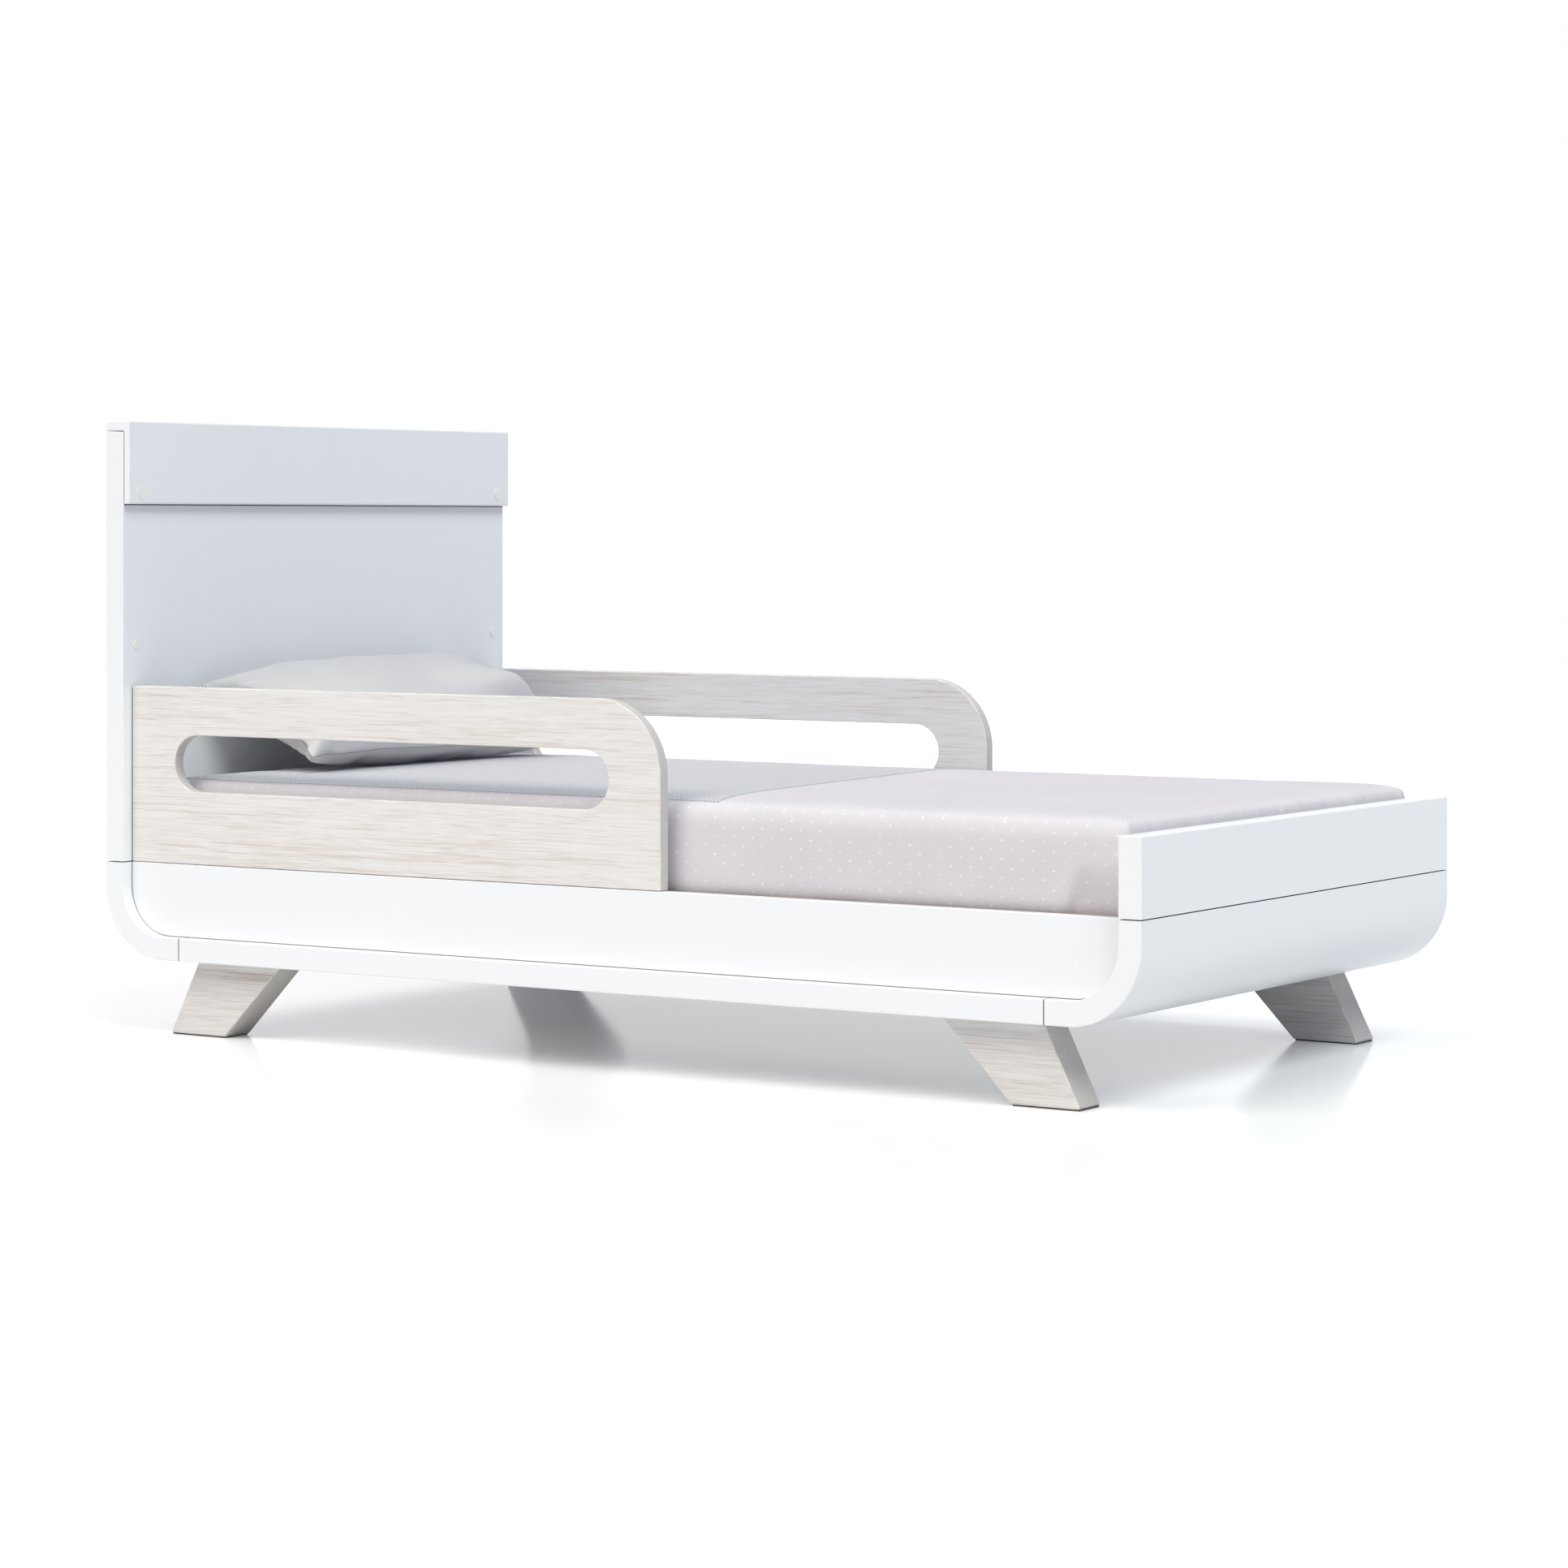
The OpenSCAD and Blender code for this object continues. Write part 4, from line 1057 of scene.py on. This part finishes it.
def screwTree():
    # a countersunk screw with a cross recess on every point, its head towards the point's "aim"
    tree, given, out = newGrower("screwSet", {
        "Head Radius": 0.0035, "Head Height": 0.0024, "Shank Radius": 0.00175, "Length": 0.026, "Recess": 0.0009})
    headH = given["Head Height"]
    head = put(tree, "GeometryNodeMeshCone", {"Vertices": 28, "Radius Top": given["Head Radius"],
                                              "Radius Bottom": given["Shank Radius"], "Depth": headH})
    headSet = shifted(tree, head.outputs["Mesh"], Translation=combined(tree, Z=times(tree, headH, -1.0)))
    shankL = minus(tree, given["Length"], headH)
    shank = put(tree, "GeometryNodeMeshCylinder", {"Vertices": 20, "Radius": given["Shank Radius"],
                                                   "Depth": shankL})
    shankMid = minus(tree, times(tree, shankL, -0.5), headH)
    shankSet = shifted(tree, shank.outputs["Mesh"], Translation=combined(tree, Z=shankMid))
    bar = put(tree, "GeometryNodeMeshCube", {"Size": combined(
        tree, X=times(tree, given["Head Radius"], 1.15), Y=given["Recess"], Z=times(tree, headH, 1.1))})
    bars = [shifted(tree, bar.outputs["Mesh"], Rotation=(0, 0, turn)) for turn in (0.0, math.pi / 2)]
    cutHead = lessened(tree, headSet, [together(tree, bars)])
    aim = put(tree, "GeometryNodeInputNamedAttribute", {"Name": "aim"}, data_type="FLOAT_VECTOR")
    align = put(tree, "FunctionNodeAlignRotationToVector", {"Vector": aim.outputs[0]}, axis="Z")
    return spawned(tree, given, out, given["Geometry"], together(tree, [cutHead, shankSet]),
                   Rotation=align.outputs[0])


def stitchTree():
    # short stitches along the points' path
    tree, given, out = newGrower("stitchedSeam", {
        "Pitch": 0.004, "Stitch Length": 0.0028, "Thread Radius": 0.0004})
    path = put(tree, "GeometryNodeMeshToCurve", {"Mesh": given["Geometry"]})
    spaced = put(tree, "GeometryNodeResampleCurve", {"Curve": path.outputs[0], "Length": given["Pitch"]},
                 mode="LENGTH")
    points = put(tree, "GeometryNodeCurveToPoints", {"Curve": spaced.outputs[0]}, mode="EVALUATED").outputs
    bead = put(tree, "GeometryNodeMeshIcoSphere", {"Radius": 1.0, "Subdivisions": 1})
    size = combined(tree, X=given["Thread Radius"], Y=given["Thread Radius"],
                    Z=times(tree, given["Stitch Length"], 0.5))
    return spawned(tree, given, out, points["Points"], bead.outputs[0], Rotation=points["Rotation"], Scale=size)


slatRow, screwSet, stitchedSeam = slatTree(), screwTree(), stitchTree()


def ringMesh(name, points):
    mesh = bpy.data.meshes.new(name)
    mesh.from_pydata(points, [(i, (i + 1) % len(points)) for i in range(len(points))], [])
    return mesh


def screws(name, boxes, axis, headRadius, headHeight, shankRadius, material, proud=0.0):
    # one screw for each box; the head lies at the box's end that the axis points to
    axis = Vector(axis)
    spots = []
    for lo, hi in boxes:
        mid, reachOut = (lo + hi) / 2, hi - lo
        towards = axis if axis.length > 0 else Vector((0, 1 if mid.y < 0 else -1, 0))
        spots.append((mid + Vector(towards[i] * reachOut[i] / 2 for i in range(3)) + towards * proud, towards,
                      abs(towards.dot(reachOut))))
    mesh = bpy.data.meshes.new(name)
    mesh.from_pydata([spot for spot, _, _ in spots], [], [])
    aims = mesh.attributes.new("aim", "FLOAT_VECTOR", "POINT")
    aims.data.foreach_set("vector", [value for _, towards, _ in spots for value in towards])
    return grow(name, mesh, screwSet, {"Head Radius": headRadius, "Head Height": headHeight,
                                       "Shank Radius": shankRadius, "Length": spots[0][2], "Material": material})


base = {"slatEdge": 0.0035, "railEdge": 0.002, "sinkDepth": 0.0032, "sinkRadius": 0.0042}
slatBoxes = [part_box(f"slat_{k:02d}") for k in range(1, 12)]
slatLo, slatHi = slatBoxes[0]
pitch = slatBoxes[1][0][0] - slatLo[0]
railLo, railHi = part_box("base_rail_left")
slats = grow("slats", bpy.data.meshes.new("slats"), slatRow, {
    "Count": len(slatBoxes), "Pitch": pitch, "Width": slatHi[0] - slatLo[0], "Thickness": slatHi[2] - slatLo[2],
    "Length": slatHi[1] - slatLo[1], "Edge": base["slatEdge"], "Screw Inset": (railHi[1] - railLo[1]) / 2,
    "Sink Radius": base["sinkRadius"], "Sink Depth": base["sinkDepth"], "Material": pineSlats})
slats.data.transform(Matrix.Translation((0, 0, (slatLo[2] + slatHi[2]) / 2)))
smooth(slats.data)
evenShade(slats, 40)
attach(slats, "slatted_base")
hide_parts(*[f"slat_{k:02d}" for k in range(1, 12)])

screwSets = (               # piece, CAD node, body, head's direction, head radius, head height, shank radius, proud
    ("slatScrews", "slat_screws", "slatted_base", (0, 0, 1), 0.0035, 0.0024, 0.00175, 0.0),
    ("sideScrews", "side_panel_screws", "frame", (0, 0, -1), 0.005, 0.0035, 0.0025, 0.0),
    ("cleatScrews", "cleat_screws", "frame", (0, 0, 0), 0.004, 0.0028, 0.002, 0.0004),
)
for name, node, body, axis, headR, headH, shankR, proud in screwSets:
    finishPiece(screws(name, islandBoxes(node), axis, headR, headH, shankR, steel, proud), steel, body, "steel", node)

for side in ("left", "right"):
    for node, body, label in (("base_rail_", "slatted_base", "baseRail"),
                              ("support_cleat_", "frame", "supportCleat")):
        lo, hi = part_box(node + side)
        r = base["railEdge"]
        outline = rectangle(lo[0], lo[2], hi[0], hi[2], [r * 1.3] * 4)
        bar = slab(label + side.title(), outline, (lo[1], hi[1]), arris=r)
        finishPiece(evenShade(bar), pine, body, "pine", node + side)
print("slatted base built")


# carried-over hardware

carried = {
    "cap_screws": steel, "side_panel_dowels": beech, "head_joint_dowels": beech, "foot_joint_dowels": beech,
    "head_cam_bolts": steel, "foot_cam_bolts": steel, "head_cam_locks": zinc, "foot_cam_locks": zinc,
    "leg_bolts": steel, "leg_washers": zinc, "leg_inserts": brass,
}
for nodeName, material in carried.items():
    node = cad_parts[nodeName]
    if not node.material_slots:
        node.data.materials.append(material)
    for materialSlot in node.material_slots:
        materialSlot.material = material


# padded pieces

def coordinates(mesh):
    values = np.empty(len(mesh.vertices) * 3, dtype=np.float64)
    mesh.vertices.foreach_get("co", values)
    return values.reshape(-1, 3)


def setCoordinates(mesh, values):
    mesh.vertices.foreach_set("co", np.ascontiguousarray(values, dtype=np.float64).ravel())
    mesh.update()


def vertexNormals(mesh):
    return np.array([tuple(n.vector) for n in mesh.vertex_normals])


def padded(name, mesh, look):
    # voxel remesh, then a short cloth run under pressure whose travel is capped
    piece = newPiece(name, mesh)
    net = piece.modifiers.new("even net", "REMESH")
    net.mode, net.voxel_size = "VOXEL", look["voxel"]
    baked(piece)
    before = coordinates(piece.data)
    cloth = piece.modifiers.new("filling", "CLOTH")
    settings = cloth.settings
    settings.use_pressure, settings.uniform_pressure_force = True, look["pressure"]
    settings.effector_weights.gravity = 0
    settings.quality = 6
    settings.mass = 0.3
    settings.tension_stiffness = settings.compression_stiffness = look["stiffness"]
    settings.shear_stiffness = look["stiffness"] / 2
    settings.bending_stiffness = look["bending"]
    settings.shrink_min = -look["slack"]
    cloth.point_cache.frame_start, cloth.point_cache.frame_end = 1, look["frames"] + 1
    for step in range(1, look["frames"] + 1):
        scene.frame_set(step)
    evaluated = piece.evaluated_get(bpy.context.evaluated_depsgraph_get())
    after = coordinates(evaluated.data)
    piece.modifiers.clear()
    scene.frame_set(1)
    travel = after - before
    length = np.linalg.norm(travel, axis=1, keepdims=True)
    travel *= np.minimum(1.0, look["cap"] / np.maximum(length, 1e-9))
    setCoordinates(piece.data, before + travel)
    return piece


def softStep(value, low, high):
    t = np.clip((value - low) / (high - low), 0.0, 1.0)
    return t * t * (3 - 2 * t)


def field(points, scale, seed):
    # smooth noise at each point, about -1 to 1
    return np.array([noise.noise(Vector(p) * scale + Vector((seed, seed * 1.7, seed * 0.3))) for p in points])


mattressShape = {
    "voxel": 0.009, "pressure": 4.0, "cap": 0.0042, "frames": 20, "stiffness": 15.0, "bending": 0.5, "slack": 0.0,
    "inset": 0.0042, "clear": 0.0012, "loose": 0.0009, "foldX": 0.603, "foldZ": 0.248, "foldDepth": 0.0075,
    "corner": 0.009, "topEdge": 0.017, "lowEdge": 0.012, "crown": 0.0012, "overhang": 0.013, "reach": 0.005,
    "pleatPitch": 0.041, "pleatIn": 0.0028, "pleatDown": 0.0016,
}


def buildMattress(look):
    # block with rounded corners in plan and softer edges on top than below
    lo, hi = np.array(mattressLo) + look["inset"], np.array(mattressHi) - look["inset"]
    plan = filleted([(lo[0], lo[1], look["corner"]), (hi[0], lo[1], look["corner"]),
                     (hi[0], hi[1], look["corner"]), (lo[0], hi[1], look["corner"])])
    rings = []
    for edge, level, way in ((look["lowEdge"], lo[2], 1), (look["topEdge"], hi[2], -1)):
        turns = [k / 6 * math.pi / 2 for k in range(7)]
        for angle in turns if way > 0 else turns[::-1]:
            rings.append((edge * (1 - math.sin(angle)), level + way * edge * (1 - math.cos(angle))))
    verts, faces = [], []
    count = len(plan[0])
    for inset, level in rings:
        verts += [(px, py, level) for px, py in pulledIn(plan, inset)]
    for row in range(len(rings) - 1):
        for i in range(count):
            j = (i + 1) % count
            faces.append((row * count + i, row * count + j, (row + 1) * count + j, (row + 1) * count + i))
    faces += [tuple(range(count - 1, -1, -1)), tuple(range((len(rings) - 1) * count, len(rings) * count))]
    mesh = bpy.data.meshes.new("mattressBody")
    mesh.from_pydata(verts, [], faces)
    piece = padded("mattressBody", mesh, look)
    finer = piece.modifiers.new("finer", "SUBSURF")
    finer.levels = finer.render_levels = 1
    baked(piece)
    points = coordinates(piece.data)
    normals = vertexNormals(piece.data)
    x, y, z = points.T
    # slightly loose cover: long shallow undulations, more on the sides than on top
    sideways = 1 - np.abs(normals[:, 2])
    ripple = field(points * np.array([1.0, 1.0, 0.6]), 9.0, 3.1) + 0.5 * field(points, 21.0, 7.7)
    points += normals * (ripple * look["loose"] * (0.45 + 0.9 * sideways))[:, None]
    # cover tucked in at the right side by the foot end
    tuck = softStep(x - 0.3 * (z - look["foldZ"]), look["foldX"] - 0.007, look["foldX"] + 0.007)
    tuck *= 1 - softStep(z, look["foldZ"] - 0.034, look["foldZ"] + 0.012)
    tuck *= softStep(-normals[:, 1], 0.2, 0.8) * (1 - 0.95 * softStep(x, 0.606, 0.66))
    points[:, 1] += tuck * look["foldDepth"]
    # small pleats where the cover is pulled down between mattress and footboard
    pleat = softStep(x, 0.650, 0.668) * softStep(z, 0.235, 0.275)
    pleat *= 0.5 + 0.5 * np.sin(y * 2 * math.pi / look["pleatPitch"] + 2.2 * np.sin(y * 19))
    points[:, 0] -= pleat * look["pleatIn"]
    points[:, 2] -= pleat * look["pleatDown"]
    # past the left rail the filling leans out over the side panel
    lean = softStep(x, 0.15, 0.55) * softStep(y, 0.27, 0.34) * softStep(z, 0.208, 0.24) * look["overhang"]
    points[:, 1] += lean
    points[:, 0] += look["reach"] * softStep(x, 0.62, 0.66)
    middle = (1 - ((x - 0.008) / 0.66) ** 4) * (1 - (y / 0.345) ** 4)
    points[:, 2] += np.clip(middle, 0, 1) * look["crown"] * softStep(normals[:, 2], 0.5, 0.9)
    clear = look["clear"]
    points[:, 2] = np.clip(points[:, 2], mattressLo[2] + 0.0001, mattressHi[2] + 0.004)
    points[:, 1] = np.clip(points[:, 1], mattressLo[1] - clear, mattressHi[1] + clear + lean)
    points[:, 0] = np.clip(points[:, 0], mattressLo[0] - 0.004, mattressHi[0] + 0.003)
    setCoordinates(piece.data, points)
    return piece


def layCover(piece, look):
    # cover UV in metres: on top X and Y, down the sides along the wall and by height
    mesh = piece.data
    points = coordinates(mesh)
    uv = mesh.uv_layers.new(name="cover")
    midX = (mattressLo[0] + mattressHi[0]) / 2
    halfX, halfY = (mattressHi[0] - mattressLo[0]) / 2, (mattressHi[1] - mattressLo[1]) / 2
    top = mattressHi[2]
    edge = look["topEdge"]
    values = np.empty((len(mesh.loops), 2))
    for polygon in mesh.polygons:
        nx, ny, nz = polygon.normal
        for loopIndex in polygon.loop_indices:
            px, py, pz = points[mesh.loops[loopIndex].vertex_index]
            # how far the cloth runs from the top's rim down to this height
            down = max(0.0, top - pz)
            turn = math.acos(max(-1.0, min(1.0, 1 - down / edge))) if down < edge else math.pi / 2
            drop = edge * turn + max(0.0, down - edge)
            if abs(nz) > 0.72 and nz > 0:
                values[loopIndex] = (px, py)
            elif abs(ny) >= abs(nx):
                values[loopIndex] = (px, math.copysign(halfY - edge + drop, py))
            else:
                values[loopIndex] = (math.copysign(halfX - edge + drop, px - midX) + midX, py)
    uv.data.foreach_set("uv", values.ravel())


print("mattress: filling")
mattress = buildMattress(mattressShape)
layCover(mattress, mattressShape)
smooth(mattress.data)
finishPiece(mattress, mattressCloth, "mattress", "mattress_fabric", "mattress")


def onSurface(tree, point, lift):
    # the nearest point of the piece, lifted off it
    hit = tree.find_nearest(point)
    return hit[0] + hit[1] * lift


def surfaceTree(piece):
    return BVHTree.FromPolygons([v.co for v in piece.data.vertices], [p.vertices for p in piece.data.polygons])


def stitched(name, body, slot, points, look):
    stitches = grow(name, ringMesh(name, points), stitchedSeam, {
        "Pitch": look["pitch"], "Stitch Length": look["stitch"], "Thread Radius": look["thread"],
        "Material": paleThread})
    finishPiece(stitches, paleThread, body, slot)


mattressTree = surfaceTree(mattress)
seamLook = {"pitch": 0.0045, "stitch": 0.003, "thread": 0.00038, "lift": 0.0001}


def panelSeam():
    # seam round the head panel on the mattress's top
    sideY = mattressHi[1] - mattressLook["panelInset"]
    headX = mattressLo[0] + mattressLook["panelInset"]
    start, shift = mattressLook["panelEdge"]
    slope = shift / (2 * mattressHi[1])
    corners = [(headX, -sideY), (start + slope * (mattressHi[1] - sideY), -sideY),
               (start + slope * (mattressHi[1] + sideY), sideY), (headX, sideY)]
    points = []
    for (xa, ya), (xb, yb) in zip(corners, corners[1:] + corners[:1]):
        steps = max(2, int(math.hypot(xb - xa, yb - ya) / 0.012))
        points += [(xa + (xb - xa) * k / steps, ya + (yb - ya) * k / steps) for k in range(steps)]
    return [onSurface(mattressTree, Vector((x, y, mattressHi[2])), seamLook["lift"]) for x, y in points]


stitched("mattressStitches", "mattress", "mattress_fabric", panelSeam(), seamLook)
print("mattress done:", len(mattress.data.polygons), "faces")


# pillow

pillowShape = {
    "voxel": 0.006, "pressure": 4.0, "cap": 0.012, "frames": 20, "stiffness": 10.0, "bending": 0.15, "slack": 0.03,
    "nearHalf": 0.2495, "skew": 0.0135, "farHalf": 0.254, "depth": 0.204, "crownUp": 0.0425, "crownDown": 0.034,
    "tilt": 29.5, "pinch": 0.045, "endPinch": 1.1, "sidePinch": 1.3,
    "front": (-0.4885, 0.3205),             # where the front seam lies, in X and Z
    "ends": {                # (left half, upper sheet): how full the pillow is towards its end
        (False, True): (2.3, 0.72), (True, True): (5.5, 0.46),
        (False, False): (1.9, 0.95), (True, False): (2.6, 0.7),
    },
    "swell": 0.030, "swellAt": (0.72, 0.50), "swellWide": (0.35, 0.45),     # filling pushed to the left front
    "droop": 0.0045, "pucker": 0.0011, "dent": 0.0016, "crease": 0.0055,
}


def pillowForm(look):
    # two sheets that meet in a seam; the sides pull in between the corners
    na, nb = 96, 44
    verts, faces = [], []
    index = {}
    for sheet, height in ((1, look["crownUp"]), (-1, look["crownDown"])):
        for i in range(na + 1):
            for j in range(nb + 1):
                a, b = -1 + 2 * i / na, -1 + 2 * j / nb
                rimPoint = i in (0, na) or j in (0, nb)
                if rimPoint and sheet < 0:
                    index[sheet, i, j] = index[1, i, j]
                    continue
                half = look["farHalf"] if a > 0 else look["nearHalf"] - look["skew"] * b
                along = a * half * (1 - look["pinch"] * look["endPinch"] * (1 - b * b))
                deep = b * look["depth"] / 2 * (1 - look["pinch"] * (1 - a * a) * look["sidePinch"])
                endPower, endEase = look["ends"][(a > 0, sheet > 0)]
                full = ((1 - abs(a) ** endPower) ** endEase) * ((1 - abs(b) ** 2.6) ** 0.48)
                offA = (a - look["swellAt"][0]) / look["swellWide"][0]
                offB = (b - look["swellAt"][1]) / look["swellWide"][1]
                swell = look["swell"] * math.exp(-offA ** 2 - offB ** 2) if sheet > 0 else 0.0
                index[sheet, i, j] = len(verts)
                verts.append((deep, along, sheet * (height + swell) * full))
        for i in range(na):
            for j in range(nb):
                quad = [index[sheet, i + p, j + q] for p, q in ((0, 0), (1, 0), (1, 1), (0, 1))]
                faces.append(quad if sheet < 0 else quad[::-1])
    order = [(i, 0) for i in range(na)] + [(na, j) for j in range(nb)]
    order += [(i, nb) for i in range(na, 0, -1)] + [(0, j) for j in range(nb, 0, -1)]
    seam = [Vector(verts[index[1, i, j]]) for i, j in order]
    return solidMesh("pillowBody", verts, faces), seam


def leanPillow(points, look):
    # local (depth, length, height) to the bed: +depth is the front edge, on the mattress
    tilt = math.radians(look["tilt"])
    back = np.array([-math.cos(tilt), 0.0, math.sin(tilt)])
    up = np.array([math.sin(tilt), 0.0, math.cos(tilt)])
    frontPoint = np.array([look["front"][0], 0.0, look["front"][1]])
    d, l, h = points.T
    sideways = l[:, None] * np.array([0, 1.0, 0])
    return frontPoint + (look["depth"] / 2 - d)[:, None] * back + sideways + h[:, None] * up


def buildPillow(look):
    mesh, seam = pillowForm(look)
    piece = padded("pillowBody", mesh, look)
    finer = piece.modifiers.new("finer", "SUBSURF")
    finer.levels = finer.render_levels = 1
    baked(piece)
    local = coordinates(piece.data)
    normals = vertexNormals(piece.data)
    d, l, h = local.T
    uv = piece.data.uv_layers.new(name="cover")
    loops = np.array([loop.vertex_index for loop in piece.data.loops])
    uv.data.foreach_set("uv", np.stack([d[loops] + 0.3 * (h[loops] < 0), l[loops]], axis=1).ravel())
    a, b = l / look["farHalf"], d / (look["depth"] / 2)
    rimShare = np.clip(np.maximum(np.abs(a), np.abs(b)), 0, 1)
    # puckers run in from the seam, soft dents over the body
    angle = np.arctan2(b * 1.2, a)
    uneven = 0.35 + 0.65 * (0.5 + 0.5 * field(local, 17.0, 9.4))
    pucker = np.sin(angle * 23 + 4 * np.sin(angle * 5)) * uneven * softStep(rimShare, 0.7, 0.93)
    pucker *= 1 - softStep(rimShare, 0.96, 1.02)
    dents = field(local, 11.0, 5.3) + 0.4 * field(local, 26.0, 1.9)
    bumps = pucker * look["pucker"] + dents * look["dent"] * (1 - softStep(rimShare, 0.9, 1.0))
    local = local + normals * bumps[:, None]
    # fold that runs in from the near head-end corner
    across = (a + 0.66) + 0.42 * (b - 0.20)
    along = (b - 0.20) - 0.42 * (a + 0.66)
    crease = np.exp(-(across / 0.04) ** 2 - (along / 0.18) ** 2) * softStep(h, 0.004, 0.02)
    local[:, 2] -= crease * look["crease"]
    local[:, 2] -= look["droop"] * softStep(-a, 0.45, 0.8) * softStep(-b, -0.5, 0.3)
    placed = leanPillow(local, look)
    placed[:, 2] = np.maximum(placed[:, 2], mattressHi[2] + 0.0012)
    placed[:, 0] = np.maximum(placed[:, 0], pillowLo[0] - 0.004)
    setCoordinates(piece.data, placed)
    seamPoints = leanPillow(np.array([tuple(p) for p in seam]), look)
    return piece, seamPoints


print("pillow: filling")
pillow, pillowSeam = buildPillow(pillowShape)
smooth(pillow.data)
finishPiece(pillow, pillowCloth, "pillow", "pillow_fabric", "pillow")
pillowSeamLook = {"pitch": 0.0042, "stitch": 0.0028, "thread": 0.00035, "lift": 0.0003}
pillowTree = surfaceTree(pillow)
seamRun = [onSurface(pillowTree, Vector(p), pillowSeamLook["lift"]) for p in pillowSeam]
stitched("pillowStitches", "pillow", "pillow_fabric", seamRun, pillowSeamLook)
print("pillow done:", len(pillow.data.polygons), "faces")
